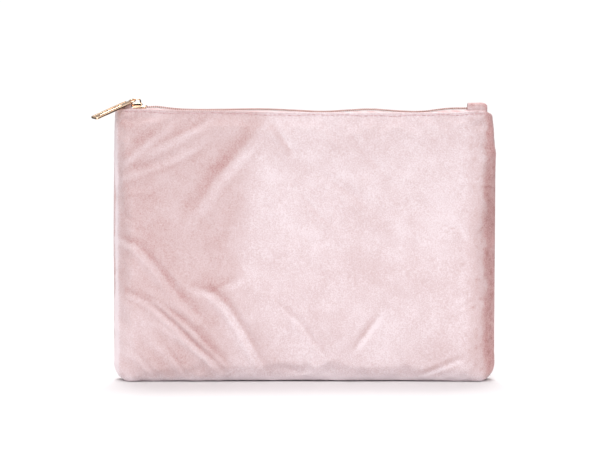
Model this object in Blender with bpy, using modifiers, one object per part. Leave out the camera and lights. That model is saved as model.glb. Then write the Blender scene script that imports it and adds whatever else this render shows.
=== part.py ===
"""Zippered velvet pouch: two padded fabric panels, a lining, a coil zip, its slider and its puller.

+X runs along the zip, from its closed end to its open end, -Y is the front and +Z is up. The
origin is the middle of the bottom seam, which the pouch stands on. Units are metres.
"""

import math

import bmesh
import bpy
from mathutils import Matrix, Vector

MM = 0.001

# Driving sizes of the bag.
WIDTH = 240 * MM
HEIGHT = 171 * MM
CORNER_RADIUS = 11 * MM
HALF_DEPTH_TOP = 6.0 * MM
HALF_DEPTH_MAX = 13.5 * MM
DEEPEST_Z = 48 * MM
SIDE_FLATTENING = 0.12  # how much of the swelling is lost towards the side seams
SIDE_ARC = 16 * MM  # widest rounding at a side seam
SIDE_ARC_PER_DEPTH = 1.2
BOTTOM_ARC = 9.5 * MM
BOTTOM_FLAT = 5.5 * MM  # half width of the flat that the bag stands on
TOP_CORNER_DROP = 2.5 * MM
TOP_CORNER_STEEPNESS = 8

# Fabric layers, from outside in.
CLEARANCE = 0.3 * MM
VELVET = 1.2 * MM
INTERLINING = 1.2 * MM
TAPE = 0.5 * MM
LINING = 0.5 * MM
SEAM = 0.8 * MM
SEAM_WIDTH = 8 * MM
SEAM_CORNER_STEPS = 6
RIM = SEAM / 2 + 1.5 * CLEARANCE  # where a panel's edge stops, on each side of the seam
INTERLINING_DEPTH = VELVET + CLEARANCE
TAPE_DEPTH = VELVET + CLEARANCE
LINING_DEPTH_TOP = TAPE_DEPTH + TAPE + CLEARANCE
LINING_DEPTH = INTERLINING_DEPTH + INTERLINING + CLEARANCE

# Rows and columns of the panels.
ARC_STEPS = 4
INTERLINING_TOP = 157 * MM
TAPE_BOTTOM = 163 * MM
LINING_TOP = 168.4 * MM
FLAP_BOTTOM = 40 * MM
ROWS_Z = [z * MM for z in (25, 40, 64, 88, 112, 136)] + [INTERLINING_TOP, TAPE_BOTTOM, LINING_TOP, HEIGHT]
FLAP_HALF_WIDTH = 94 * MM
FLAP_GAP = 0.5 * MM
FLAP_COLUMNS = 8

# Zip.
TAPE_Z = 170.45 * MM
TAPE_LEG_Z = (TAPE_BOTTOM, 166.4 * MM, 169.4 * MM)
TAPE_COLUMNS = 8
TAPE_END_X = 113 * MM
TAPE_INNER_EDGE = 1.2 * MM
COIL_Z = 171.6 * MM
COIL_THICKNESS = 1.2 * MM
COIL_OUTER = 2.3 * MM
COIL_SPINE = 1.1 * MM
COIL_REACH = 0.5 * MM  # how far a tooth passes the middle
TOOTH_PITCH = 1.25 * MM
TOOTH_WIDTH = 0.4 * MM
COIL_END_X = 103.5 * MM

# Slider, at the closed end.
SLIDER_X = -103.6 * MM
SLIDER_LEFT = -5.2 * MM
SLIDER_RIGHT = 4.6 * MM
SLIDER_HALF_WIDTH = 3.7 * MM
SLIDER_CORNER = 1.6 * MM
SLIDER_BOTTOM = 169.0 * MM
SLIDER_TOP = 173.3 * MM
CHANNEL_HALF_WIDTH = 2.7 * MM
CHANNEL_BOTTOM = 170.0 * MM
CHANNEL_TOP = 172.5 * MM
SLOT_TOP = 170.9 * MM
POST_X = -3.0 * MM
POST_HALF_LENGTH = 1.4 * MM
POST_HALF_WIDTH = 0.9 * MM

# Bail, a wire arch whose centre is the axis that the puller turns about.
BAIL_X = -105.8 * MM
BAIL_CENTRE_Z = 175.8 * MM
BAIL_RADIUS = 2.6 * MM
BAIL_WIRE = 1.1 * MM
BAIL_STEPS = 12

# Puller, a flat bar with an eye round the bail.
PULLER_YAW = math.radians(38)
PULLER_PITCH = math.radians(16)
EYE_ANGLE = math.radians(160)  # where the eye crosses the bail at rest, from +X
EYE_HOLE = 2.6 * MM
EYE_RING = 4.8 * MM
EYE_THICKNESS = 0.9 * MM
EYE_NECK = 0.72  # half the neck's width, as a share of the ring's radius
EYE_STEPS = 14
NECK_END = 3.2 * MM
BAR_END = 31.5 * MM
BAR_WIDTH = 6.5 * MM
BAR_THICKNESS = 1.5 * MM
BAR_BEVEL = 0.4 * MM
BAR_CORNER = 0.8 * MM

# Velvet tab over the open end, and the folded end by the slider.
TAB_LEFT = 102.4 * MM
TAB_RIGHT = 115.6 * MM
TAB_TOP = 175.5 * MM
TAB_BOTTOM = 171.3 * MM
TAB_HALF_WIDTH = 4.4 * MM
TAB_THICKNESS = 1.1 * MM
TAB_ARCH = 2.6 * MM  # height of its rounded top
TAB_END_ARC = 4.2 * MM
TAB_END_NARROWING = 0.45
TAB_END_DROP = 1.3 * MM
TAB_END_STEPS = 3
TAB_TURN_STEPS = 8
LEFT_END_X = (-118.2 * MM, -113.4 * MM)
LEFT_END_Z = (171.3 * MM, 173.0 * MM)
LEFT_END_HALF_WIDTH = 2.2 * MM
LEFT_END_DROP = 0.9 * MM
LEFT_END_NARROWING = 0.6

STOP_LENGTH = 2.0 * MM
STOP_HALF_THICKNESS = 0.7 * MM
SMALL_ROUNDING = 0.25 * MM
TOP_STOP_X = -111.5 * MM
BOTTOM_STOP_X = 106.5 * MM

STITCH_DROP = 2.6 * MM  # from the fold down to the topstitching
THREAD = 0.4 * MM
STITCH_SIDE_GAP = 2 * MM  # from the flap's sides to the ends of the topstitching

VELVET_COLOUR = (0.78, 0.58, 0.60)
LINING_COLOUR = (0.80, 0.62, 0.62)
WADDING_COLOUR = (0.90, 0.89, 0.87)
TAPE_COLOUR = (0.72, 0.45, 0.44)
COIL_COLOUR = (0.66, 0.38, 0.36)
THREAD_COLOUR = (0.62, 0.36, 0.38)
GOLD_COLOUR = (0.86, 0.60, 0.40)


# ---------------------------------------------------------------- scene and materials


def clear_scene():
    for obj in list(bpy.data.objects):
        bpy.data.objects.remove(obj, do_unlink=True)


def new_collection(name):
    collection = bpy.data.collections.new(name)
    bpy.context.scene.collection.children.link(collection)
    return collection


def material(name, colour, roughness, metallic=0.0):
    made = bpy.data.materials.new(name)
    made.use_nodes = True
    shader = made.node_tree.nodes["Principled BSDF"]
    shader.inputs["Base Color"].default_value = (*colour, 1)
    shader.inputs["Roughness"].default_value = roughness
    shader.inputs["Metallic"].default_value = metallic
    made.diffuse_color = (*colour, 1)
    return made


def add_object(name, data, finish, collection):
    """An object in the collection, with one material and smooth shading where faces nearly meet."""
    obj = bpy.data.objects.new(name, data)
    collection.objects.link(obj)
    if data is not None:
        data.materials.clear()
        data.materials.append(finish)
    if isinstance(data, bpy.types.Mesh):
        data.shade_smooth()
        data.set_sharp_from_angle(angle=math.radians(35))
    return obj


def add_empty(name, place, collection):
    empty = bpy.data.objects.new(name, None)
    empty.empty_display_size = 5 * MM
    empty.location = place
    collection.objects.link(empty)
    return empty


def hang(child, parent):
    """Parents child, keeping its place in the world."""
    child.parent = parent
    child.matrix_parent_inverse = Matrix.Translation(parent.location).inverted()


def mesh_from(bm, name):
    mesh = bpy.data.meshes.new(name)
    bm.to_mesh(mesh)
    bm.free()
    return mesh


def mesh_of_curve(curve_object, name):
    """The curve object's closed mesh. The curve is removed."""
    bpy.context.view_layer.update()
    evaluated = curve_object.evaluated_get(bpy.context.evaluated_depsgraph_get())
    mesh = bpy.data.meshes.new_from_object(evaluated)
    mesh.name = name
    mesh.transform(curve_object.matrix_world)
    bpy.data.objects.remove(curve_object)
    bm = bmesh.new()
    bm.from_mesh(mesh)
    bmesh.ops.remove_doubles(bm, verts=bm.verts, dist=0.001 * MM)
    bm.to_mesh(mesh)
    bm.free()
    return mesh


def solidify(obj, thickness, offset=-1.0):
    layer = obj.modifiers.new("Thickness", "SOLIDIFY")
    layer.thickness = thickness
    layer.offset = offset


def bevel(obj, width, segments=2):
    edges = obj.modifiers.new("Rounded edges", "BEVEL")
    edges.width = width
    edges.segments = segments
    edges.limit_method = "ANGLE"
    edges.angle_limit = math.radians(40)


def boolean(obj, other, operation):
    cut = obj.modifiers.new(other.name, "BOOLEAN")
    cut.operation = operation
    cut.object = other
    cut.solver = "EXACT"


# ---------------------------------------------------------------- panels


def swelling(x, z):
    """Half the bag's depth at a place on a panel, away from the seams."""
    along = min(1.0, (HEIGHT - z) / (HEIGHT - DEEPEST_Z))
    flatter = 1 - SIDE_FLATTENING * (2 * x / WIDTH) ** 2
    return HALF_DEPTH_TOP + (HALF_DEPTH_MAX - HALF_DEPTH_TOP) * math.sin(along * math.pi / 2) * flatter


def column_stations():
    """Each column as (side, arc angle, x): x counts only where the angle is a right angle."""
    angles = [math.pi / 2 * step / ARC_STEPS for step in range(ARC_STEPS)]
    left = [(-1, angle, None) for angle in angles] + [(-1, math.pi / 2, None)]
    spacing = 2 * FLAP_HALF_WIDTH / FLAP_COLUMNS
    middle = [(0, math.pi / 2, -FLAP_HALF_WIDTH + spacing * step) for step in range(FLAP_COLUMNS + 1)]
    right = [(1, angle, None) for _, angle, _ in reversed(left)]
    return left + middle + right


def row_stations():
    """Each row as (height, share of the depth reached there)."""
    flat_share = (BOTTOM_FLAT - RIM) / (HALF_DEPTH_MAX - RIM)
    rows = [(0.0, 0.0), (0.0, flat_share)]
    for step in range(1, ARC_STEPS + 1):
        angle = math.pi / 2 * step / ARC_STEPS
        share = flat_share + (1 - flat_share) * math.sin(angle)
        rows.append((BOTTOM_ARC * (1 - math.cos(angle)), share))
    return rows + [(z, 1.0) for z in ROWS_Z]


def round_corner(x, z):
    """Moves a point of the square-cornered outline onto the round-cornered one."""
    p = (abs(x) - (WIDTH / 2 - CORNER_RADIUS)) / CORNER_RADIUS
    q = (CORNER_RADIUS - z) / CORNER_RADIUS
    if p <= 0 or q <= 0:
        return x, z
    new_p = p * math.sqrt(1 - q * q / 2)
    new_q = q * math.sqrt(1 - p * p / 2)
    across = WIDTH / 2 - CORNER_RADIUS + new_p * CORNER_RADIUS
    return math.copysign(across, x), CORNER_RADIUS - new_q * CORNER_RADIUS


def panel_point(column, row):
    """A point of the front panel's outer face."""
    side, angle, x = column
    z, row_share = row
    arc = min(SIDE_ARC, SIDE_ARC_PER_DEPTH * swelling(WIDTH / 2, z))
    if side:
        x = side * (WIDTH / 2 - arc * (1 - math.cos(angle)))
    share = math.sin(angle) * row_share
    depth = RIM + (swelling(x, z) - RIM) * share
    drop = TOP_CORNER_DROP * (1 - math.sin(angle)) * (z / HEIGHT) ** TOP_CORNER_STEEPNESS
    x, z = round_corner(x, z - drop)
    return Vector((x, -depth, z))


def panel_grid():
    """The front panel's outer face as a grid, indexed by column and row, with its normals outwards."""
    columns = column_stations()
    rows = row_stations()
    bm = bmesh.new()
    bmesh.ops.create_grid(bm, x_segments=len(columns) - 1, y_segments=len(rows) - 1, size=0.5)
    index = {}
    for vert in bm.verts:
        column = round((vert.co.x + 0.5) * (len(columns) - 1))
        row = round((vert.co.y + 0.5) * (len(rows) - 1))
        index[vert] = (column, row)
        vert.co = panel_point(columns[column], rows[row])
    bmesh.ops.recalc_face_normals(bm, faces=bm.faces)
    outward = sum(face.normal.y * face.calc_area() for face in bm.faces)
    if outward > 0:
        bmesh.ops.reverse_faces(bm, faces=bm.faces)
    bm.normal_update()
    return bm, index


def in_flap(column, row):
    """Whether the cell's lower left corner is in the part that swings open."""
    first = ARC_STEPS + 1
    lowest = ARC_STEPS + 2 + ROWS_Z.index(FLAP_BOTTOM)
    return first <= column < first + FLAP_COLUMNS and row >= lowest


def cell(face, index):
    corners = [index[vert] for vert in face.verts]
    return min(column for column, _ in corners), min(row for _, row in corners)


def row_at(z):
    return ARC_STEPS + 2 + ROWS_Z.index(z)


def layer_mesh(name, depth_at, rows, part, back):
    """One face of a fabric layer: part is whole, border or flap, and back mirrors it."""
    bm, index = panel_grid()
    moved = {vert: vert.co - vert.normal * depth_at(vert.co.z) for vert in bm.verts}
    first_flap = ARC_STEPS + 1
    for vert, (column, row) in index.items():
        vert.co = moved[vert]
        vert.co.y = min(vert.co.y, -RIM)
        if part == "flap":
            vert.co.x += FLAP_GAP * ((column == first_flap) - (column == first_flap + FLAP_COLUMNS))
            vert.co.z += FLAP_GAP * (row == row_at(FLAP_BOTTOM))
    lowest, highest = rows
    extra = []
    for face in bm.faces:
        column, row = cell(face, index)
        wanted = part == "whole" or in_flap(column, row) == (part == "flap")
        if not wanted or not lowest <= row < highest:
            extra.append(face)
    bmesh.ops.delete(bm, geom=extra, context="FACES")
    if back:
        for vert in bm.verts:
            vert.co.y = -vert.co.y
        bmesh.ops.reverse_faces(bm, faces=bm.faces)
    return mesh_from(bm, name)


def lining_depth(z):
    """The lining lies on the tape at the top and on the interlining lower down."""
    share = (z - INTERLINING_TOP) / (TAPE_BOTTOM - INTERLINING_TOP)
    share = max(0.0, min(1.0, share))
    return LINING_DEPTH + (LINING_DEPTH_TOP - LINING_DEPTH) * share


def add_layers(name_of, part, back, finishes, collection):
    """Velvet, interlining and lining of one part of a panel."""
    plans = (
        ("outer_panel", lambda z: 0.0, VELVET, HEIGHT, "velvet"),
        ("interlining", lambda z: INTERLINING_DEPTH, INTERLINING, INTERLINING_TOP, "wadding"),
        ("lining", lining_depth, LINING, LINING_TOP, "lining"),
    )
    made = []
    for layer, depth_at, thickness, top, finish in plans:
        name = name_of(layer)
        mesh = layer_mesh(name, depth_at, (0, row_at(top)), part, back)
        obj = add_object(name, mesh, finishes[finish], collection)
        solidify(obj, thickness)
        made.append(obj)
    return made


def outline_point(distance, inset):
    """A point on the U of the seams, from the top left round to the top right, moved in by inset."""
    radius = CORNER_RADIUS - inset
    straight = HEIGHT - CORNER_RADIUS - SEAM_WIDTH / 2
    half = WIDTH / 2 - CORNER_RADIUS
    side = -1 if distance < 0.5 else 1
    share = min(distance, 1 - distance) * 2
    if share < 0.5:
        return side * (WIDTH / 2 - inset), CORNER_RADIUS + straight * (1 - share / 0.5)
    angle = (share - 0.5) / 0.5 * math.pi / 2
    x = side * (half + radius * math.cos(angle))
    return x, CORNER_RADIUS - radius * math.sin(angle)


def add_perimeter_seam(finish, collection):
    """The sewn allowance between the panels: sides and bottom, flat where the bag stands."""
    half = [0.0] + [0.25 + 0.25 * step / SEAM_CORNER_STEPS for step in range(SEAM_CORNER_STEPS + 1)]
    stations = half + [1 - share for share in reversed(half)]
    outer = [outline_point(share, 0.0) for share in stations]
    inner = [outline_point(share, SEAM_WIDTH) for share in reversed(stations)]
    curve = flat_outline("perimeter_seam", outer + inner, SEAM)
    obj = bpy.data.objects.new("perimeter_seam_outline", curve)
    obj.rotation_euler = (math.pi / 2, 0, 0)
    collection.objects.link(obj)
    return add_object("perimeter_seam", mesh_of_curve(obj, "perimeter_seam"), finish, collection)


# ---------------------------------------------------------------- zip


def flat_outline(name, points, thickness):
    """A filled 2D curve in its own XY plane, extruded to this thickness."""
    curve = bpy.data.curves.new(name, "CURVE")
    curve.dimensions = "2D"
    curve.fill_mode = "BOTH"
    curve.extrude = thickness / 2
    spline = curve.splines.new("POLY")
    spline.points.add(len(points) - 1)
    for point, (x, y) in zip(spline.points, points):
        point.co = (x, y, 0, 1)
    spline.use_cyclic_u = True
    return curve


def tape_section(x):
    """The front tape across its width, from its sewn edge up to the coil."""
    leg = [(-(swelling(x, z) - TAPE_DEPTH - TAPE / 2), z) for z in TAPE_LEG_Z]
    flat = (HALF_DEPTH_TOP - TAPE_DEPTH - TAPE, TAPE_INNER_EDGE)
    return leg + [(-y, TAPE_Z) for y in flat]


def add_tape(name, back, finish, collection):
    rows = len(tape_section(0)) - 1
    bm = bmesh.new()
    bmesh.ops.create_grid(bm, x_segments=TAPE_COLUMNS, y_segments=rows, size=0.5)
    for vert in bm.verts:
        x = vert.co.x * 2 * TAPE_END_X
        y, z = tape_section(x)[round((vert.co.y + 0.5) * rows)]
        vert.co = (x, -y if back else y, z)
    obj = add_object(name, mesh_from(bm, name), finish, collection)
    solidify(obj, TAPE, 0.0)
    return obj


def comb_outline(start, shift):
    """One side of the zip as a comb: a spine with a tooth for each turn of the coil."""
    teeth = int((COIL_END_X - start - shift - TOOTH_WIDTH) / TOOTH_PITCH)
    points = [(start, -COIL_OUTER), (COIL_END_X, -COIL_OUTER), (COIL_END_X, -COIL_SPINE)]
    for tooth in reversed(range(teeth)):
        middle = start + shift + TOOTH_PITCH * (tooth + 0.5)
        left = middle - TOOTH_WIDTH / 2
        right = middle + TOOTH_WIDTH / 2
        points += [(right, -COIL_SPINE), (right, COIL_REACH), (left, COIL_REACH), (left, -COIL_SPINE)]
    return points + [(start, -COIL_SPINE)]


def add_coil(name, back, finish, collection):
    start = SLIDER_X + POST_X + POST_HALF_LENGTH + CLEARANCE
    points = comb_outline(start, TOOTH_PITCH / 2 if back else 0.0)
    if back:
        points = [(x, -y) for x, y in reversed(points)]
    obj = bpy.data.objects.new(name + "_outline", flat_outline(name, points, COIL_THICKNESS))
    obj.location.z = COIL_Z
    collection.objects.link(obj)
    return add_object(name, mesh_of_curve(obj, name), finish, collection)


def add_block(name, low, high, finish, collection, rounding=0.0):
    """A box between two corners, made from a cube and with its edges rounded."""
    bm = bmesh.new()
    bmesh.ops.create_cube(bm, size=1.0)
    size = Vector(high) - Vector(low)
    bmesh.ops.scale(bm, vec=size, verts=bm.verts)
    bmesh.ops.translate(bm, vec=Vector(low) + size / 2, verts=bm.verts)
    obj = add_object(name, mesh_from(bm, name), finish, collection)
    if rounding:
        bevel(obj, rounding)
    return obj


def add_stop(name, x, y_low, y_high, finish, collection):
    low = (x - STOP_LENGTH / 2, y_low, COIL_Z - STOP_HALF_THICKNESS)
    high = (x + STOP_LENGTH / 2, y_high, COIL_Z + STOP_HALF_THICKNESS)
    return add_block(name, low, high, finish, collection, SMALL_ROUNDING)


def add_end_tab(finish, collection):
    """A strip of velvet folded over the open end of the zip, round at its outer end."""
    end_start = TAB_RIGHT - TAB_END_ARC
    quarter = [math.pi / 2 * step / TAB_END_STEPS for step in range(TAB_END_STEPS + 1)]
    stations = [TAB_LEFT, (TAB_LEFT + end_start) / 2]
    stations += [end_start + TAB_END_ARC * math.sin(angle) for angle in quarter]
    rows = TAB_TURN_STEPS + 2
    bm = bmesh.new()
    bmesh.ops.create_grid(bm, x_segments=len(stations) - 1, y_segments=rows, size=0.5)
    for vert in bm.verts:
        x = stations[round((vert.co.x + 0.5) * (len(stations) - 1))]
        step = round((vert.co.y + 0.5) * rows)
        inset = max(0.0, x - end_start) / TAB_END_ARC
        width = TAB_HALF_WIDTH * (1 - TAB_END_NARROWING * inset**2)
        top = TAB_TOP - TAB_END_DROP * inset**2
        angle = math.pi * (step - 1) / TAB_TURN_STEPS
        if step in (0, rows):
            vert.co = (x, width if step == 0 else -width, TAB_BOTTOM)
        else:
            vert.co = (x, width * math.cos(angle), top - TAB_ARCH * (1 - math.sin(angle)))
    if sum(face.normal.z for face in bm.faces) < 0:
        bmesh.ops.reverse_faces(bm, faces=bm.faces)
    obj = add_object("zip_end_tab", mesh_from(bm, "zip_end_tab"), finish, collection)
    solidify(obj, TAB_THICKNESS)
    return obj


def add_left_end(finish, collection):
    """The folded tape end beyond the top stops, lower towards the side seam."""
    low = (LEFT_END_X[0], -LEFT_END_HALF_WIDTH, LEFT_END_Z[0])
    high = (LEFT_END_X[1], LEFT_END_HALF_WIDTH, LEFT_END_Z[1])
    obj = add_block("folded_tape_end", low, high, finish, collection)
    for vert in obj.data.vertices:
        if vert.co.z > LEFT_END_Z[0] and vert.co.x < LEFT_END_X[1]:
            vert.co.z -= LEFT_END_DROP
            vert.co.y *= LEFT_END_NARROWING
    bevel(obj, SMALL_ROUNDING)
    return obj


def add_thread(name, back, half_length, finish, collection):
    """A line of topstitching, proud of the velvet just under its folded top edge."""
    curve = bpy.data.curves.new(name, "CURVE")
    curve.dimensions = "3D"
    curve.bevel_depth = THREAD / 2
    curve.bevel_resolution = 1
    curve.use_fill_caps = True
    z = HEIGHT - STITCH_DROP
    count = 2 * FLAP_COLUMNS + 1
    spline = curve.splines.new("POLY")
    spline.points.add(count - 1)
    for number, point in enumerate(spline.points):
        x = half_length * (2 * number / (count - 1) - 1)
        y = -(swelling(x, z) + CLEARANCE + THREAD / 2)
        point.co = (x, -y if back else y, z, 1)
    obj = bpy.data.objects.new(name + "_line", curve)
    collection.objects.link(obj)
    return add_object(name, mesh_of_curve(obj, name), finish, collection)


# ---------------------------------------------------------------- slider and puller


def rounded_outline(left, right, half_width, corner, steps=4):
    """A rectangle with round corners, as points in order."""
    points = []
    middles = (
        (right - corner, half_width - corner, 0.0),
        (left + corner, half_width - corner, 0.5),
        (left + corner, corner - half_width, 1.0),
        (right - corner, corner - half_width, 1.5),
    )
    for x, y, start in middles:
        for step in range(steps + 1):
            angle = math.pi * (start + 0.5 * step / steps)
            points.append((x + corner * math.cos(angle), y + corner * math.sin(angle)))
    return points


def add_slider_body(finish, collection, cutters):
    """Two plates joined by a post, open at both sides for the tapes and along it for the coil."""
    outline = rounded_outline(
        SLIDER_X + SLIDER_LEFT, SLIDER_X + SLIDER_RIGHT, SLIDER_HALF_WIDTH, SLIDER_CORNER
    )
    curve = flat_outline("slider_body", outline, SLIDER_TOP - SLIDER_BOTTOM)
    blank = bpy.data.objects.new("slider_blank", curve)
    blank.location.z = (SLIDER_TOP + SLIDER_BOTTOM) / 2
    collection.objects.link(blank)
    body = add_object("slider_body", mesh_of_curve(blank, "slider_body"), finish, collection)
    past = 2 * MM
    left = SLIDER_X + SLIDER_LEFT - past
    right = SLIDER_X + SLIDER_RIGHT + past
    channel = add_block(
        "coil_channel",
        (left, -CHANNEL_HALF_WIDTH, CHANNEL_BOTTOM),
        (right, CHANNEL_HALF_WIDTH, CHANNEL_TOP),
        finish,
        cutters,
    )
    wide = SLIDER_HALF_WIDTH + past
    slot = add_block(
        "tape_slot", (left, -wide, CHANNEL_BOTTOM), (right, wide, SLOT_TOP), finish, cutters
    )
    post = add_post(finish, cutters)
    for helper, operation in ((channel, "DIFFERENCE"), (slot, "DIFFERENCE"), (post, "UNION")):
        helper.hide_render = True
        helper.display_type = "WIRE"
        boolean(body, helper, operation)
    return body


def add_post(finish, cutters):
    """The diamond that parts the two coils, running into both plates."""
    x = SLIDER_X + POST_X
    points = [
        (x - POST_HALF_LENGTH, 0.0),
        (x, -POST_HALF_WIDTH),
        (x + POST_HALF_LENGTH, 0.0),
        (x, POST_HALF_WIDTH),
    ]
    into_plates = 0.4 * MM
    height = CHANNEL_TOP - CHANNEL_BOTTOM + 2 * into_plates
    obj = bpy.data.objects.new("post_outline", flat_outline("slider_post", points, height))
    obj.location.z = (CHANNEL_TOP + CHANNEL_BOTTOM) / 2
    cutters.objects.link(obj)
    return add_object("slider_post", mesh_of_curve(obj, "slider_post"), finish, cutters)


def add_bail(finish, collection):
    """The wire arch over the slider: a half circle on two short legs."""
    curve = bpy.data.curves.new("slider_bail", "CURVE")
    curve.dimensions = "3D"
    curve.bevel_depth = BAIL_WIRE / 2
    curve.bevel_resolution = 2
    curve.use_fill_caps = True
    foot = SLIDER_TOP + CLEARANCE
    points = [(BAIL_X - BAIL_RADIUS, foot)]
    for step in range(BAIL_STEPS + 1):
        angle = math.pi * (1 - step / BAIL_STEPS)
        x = BAIL_X + BAIL_RADIUS * math.cos(angle)
        points.append((x, BAIL_CENTRE_Z + BAIL_RADIUS * math.sin(angle)))
    points.append((BAIL_X + BAIL_RADIUS, foot))
    spline = curve.splines.new("POLY")
    spline.points.add(len(points) - 1)
    for point, (x, z) in zip(spline.points, points):
        point.co = (x, 0, z, 1)
    obj = bpy.data.objects.new("bail_line", curve)
    collection.objects.link(obj)
    return add_object("slider_bail", mesh_of_curve(obj, "slider_bail"), finish, collection)


def add_puller(finish, collection, cutters):
    """A bar whose thinner eye goes round the bail, turned towards the front and hanging down."""
    ring = []
    neck = math.asin(EYE_NECK)
    for step in range(EYE_STEPS + 1):
        angle = neck + (2 * math.pi - 2 * neck) * step / EYE_STEPS
        ring.append((EYE_RING / 2 * math.cos(angle), EYE_RING / 2 * math.sin(angle)))
    neck_half_width = EYE_RING / 2 * EYE_NECK
    ring += [(NECK_END + BAR_CORNER, -neck_half_width), (NECK_END + BAR_CORNER, neck_half_width)]
    eye = bpy.data.objects.new("eye_outline", flat_outline("puller_eye", ring, EYE_THICKNESS))
    cutters.objects.link(eye)
    eye = add_object("puller_eye", mesh_of_curve(eye, "puller_eye"), finish, cutters)
    outline = rounded_outline(NECK_END, BAR_END, BAR_WIDTH / 2, BAR_CORNER, 3)
    bar = bpy.data.objects.new("bar_outline", flat_outline("puller", outline, BAR_THICKNESS))
    collection.objects.link(bar)
    puller = add_object("puller", mesh_of_curve(bar, "puller"), finish, collection)
    bpy.ops.mesh.primitive_cylinder_add(vertices=16, radius=EYE_HOLE / 2, depth=4 * EYE_THICKNESS)
    hole = bpy.context.object
    hole.name = "eye_hole"
    for collection_of_hole in list(hole.users_collection):
        collection_of_hole.objects.unlink(hole)
    cutters.objects.link(hole)
    bevel(puller, BAR_BEVEL, 1)
    for helper, operation in ((eye, "UNION"), (hole, "DIFFERENCE")):
        helper.hide_render = True
        helper.display_type = "WIRE"
        boolean(puller, helper, operation)
    eye_place = Vector(
        (BAIL_X + BAIL_RADIUS * math.cos(EYE_ANGLE), 0, BAIL_CENTRE_Z + BAIL_RADIUS * math.sin(EYE_ANGLE))
    )
    rest = Matrix.Translation(eye_place)
    rest @= Matrix.Rotation(math.pi + PULLER_YAW, 4, "Z") @ Matrix.Rotation(PULLER_PITCH, 4, "Y")
    for obj in (puller, eye, hole):
        obj.matrix_world = rest
    return puller


# ---------------------------------------------------------------- the pouch


def back_name(layer):
    return "back_" + layer


def main():
    clear_scene()
    pouch = new_collection("zippered_pouch")
    cutters = new_collection("cutters")
    finishes = {
        "velvet": material("blush_velvet", VELVET_COLOUR, 0.85),
        "lining": material("pink_lining", LINING_COLOUR, 0.6),
        "wadding": material("white_wadding", WADDING_COLOUR, 0.95),
        "tape": material("rose_zip_tape", TAPE_COLOUR, 0.8),
        "coil": material("rose_nylon_coil", COIL_COLOUR, 0.4),
        "thread": material("rose_thread", THREAD_COLOUR, 0.7),
        "gold": material("light_gold", GOLD_COLOUR, 0.25, 1.0),
    }
    add_layers(lambda layer: "front_" + layer, "whole", False, finishes, pouch)
    add_layers(back_name, "border", True, finishes, pouch)
    flap = add_layers(lambda layer: back_name(layer) + "_mouth", "flap", True, finishes, pouch)
    add_perimeter_seam(finishes["velvet"], pouch)

    add_tape("front_zip_tape", False, finishes["tape"], pouch)
    add_coil("front_zip_coil", False, finishes["coil"], pouch)
    flap.append(add_tape("back_zip_tape", True, finishes["tape"], pouch))
    flap.append(add_coil("back_zip_coil", True, finishes["coil"], pouch))
    add_stop("top_stop_front", TOP_STOP_X, -COIL_OUTER, -CLEARANCE, finishes["coil"], pouch)
    add_stop("top_stop_back", TOP_STOP_X, CLEARANCE, COIL_OUTER, finishes["coil"], pouch)
    add_stop("bottom_stop", BOTTOM_STOP_X, -COIL_OUTER, COIL_OUTER, finishes["coil"], pouch)
    add_end_tab(finishes["velvet"], pouch)
    add_left_end(finishes["tape"], pouch)
    stitch_half = FLAP_HALF_WIDTH - STITCH_SIDE_GAP
    add_thread("front_topstitching", False, stitch_half, finishes["thread"], pouch)
    flap.append(add_thread("back_topstitching", True, stitch_half, finishes["thread"], pouch))

    mouth = add_empty("mouth_fold", (0, swelling(0, FLAP_BOTTOM), FLAP_BOTTOM), pouch)
    for obj in flap:
        hang(obj, mouth)
    slider = add_empty("slider_track", (SLIDER_X, 0, COIL_Z), pouch)
    hang(add_slider_body(finishes["gold"], pouch, cutters), slider)
    hang(add_bail(finishes["gold"], pouch), slider)
    pivot = add_empty("puller_pivot", (BAIL_X, 0, BAIL_CENTRE_Z), pouch)
    puller = add_puller(finishes["gold"], pouch, cutters)
    bpy.context.view_layer.update()
    hang(puller, pivot)


main()
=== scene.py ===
"""Looks of the velvet zip pouch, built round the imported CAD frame.

+X runs along the zip towards its open end, -Y is the front and +Z is up. Units are metres.
"""

import math

import bpy
import numpy as np
from mathutils import Matrix, Vector, noise
from mathutils.bvhtree import BVHTree

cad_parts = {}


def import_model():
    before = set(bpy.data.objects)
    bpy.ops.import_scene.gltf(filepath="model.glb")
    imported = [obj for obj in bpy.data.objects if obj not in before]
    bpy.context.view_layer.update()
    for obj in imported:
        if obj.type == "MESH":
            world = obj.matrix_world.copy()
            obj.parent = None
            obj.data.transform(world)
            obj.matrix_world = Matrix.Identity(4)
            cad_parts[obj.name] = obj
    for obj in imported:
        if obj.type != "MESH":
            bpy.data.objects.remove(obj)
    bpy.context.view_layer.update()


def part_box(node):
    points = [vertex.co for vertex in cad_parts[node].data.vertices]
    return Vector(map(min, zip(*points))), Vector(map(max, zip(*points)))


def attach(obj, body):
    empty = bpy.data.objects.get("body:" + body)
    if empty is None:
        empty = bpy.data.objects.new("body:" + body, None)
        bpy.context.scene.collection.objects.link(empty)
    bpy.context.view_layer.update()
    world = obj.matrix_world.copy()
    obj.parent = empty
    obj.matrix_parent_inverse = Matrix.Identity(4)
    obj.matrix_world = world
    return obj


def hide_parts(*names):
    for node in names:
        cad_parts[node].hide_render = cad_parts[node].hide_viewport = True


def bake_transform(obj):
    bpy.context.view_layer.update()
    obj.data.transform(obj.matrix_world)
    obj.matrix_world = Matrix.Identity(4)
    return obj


MM = 0.001

# The pouch's shape, as the CAD has it.
WIDTH = 240 * MM
HEIGHT = 171 * MM
CORNER_RADIUS = 11 * MM
HALF_DEPTH_TOP = 6.0 * MM
HALF_DEPTH_MAX = 13.5 * MM
DEEPEST_Z = 48 * MM
SIDE_FLATTENING = 0.12
SIDE_ARC = 16 * MM
SIDE_ARC_PER_DEPTH = 1.2
BOTTOM_ARC = 5.0 * MM
BOTTOM_FLAT = 8.0 * MM

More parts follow.
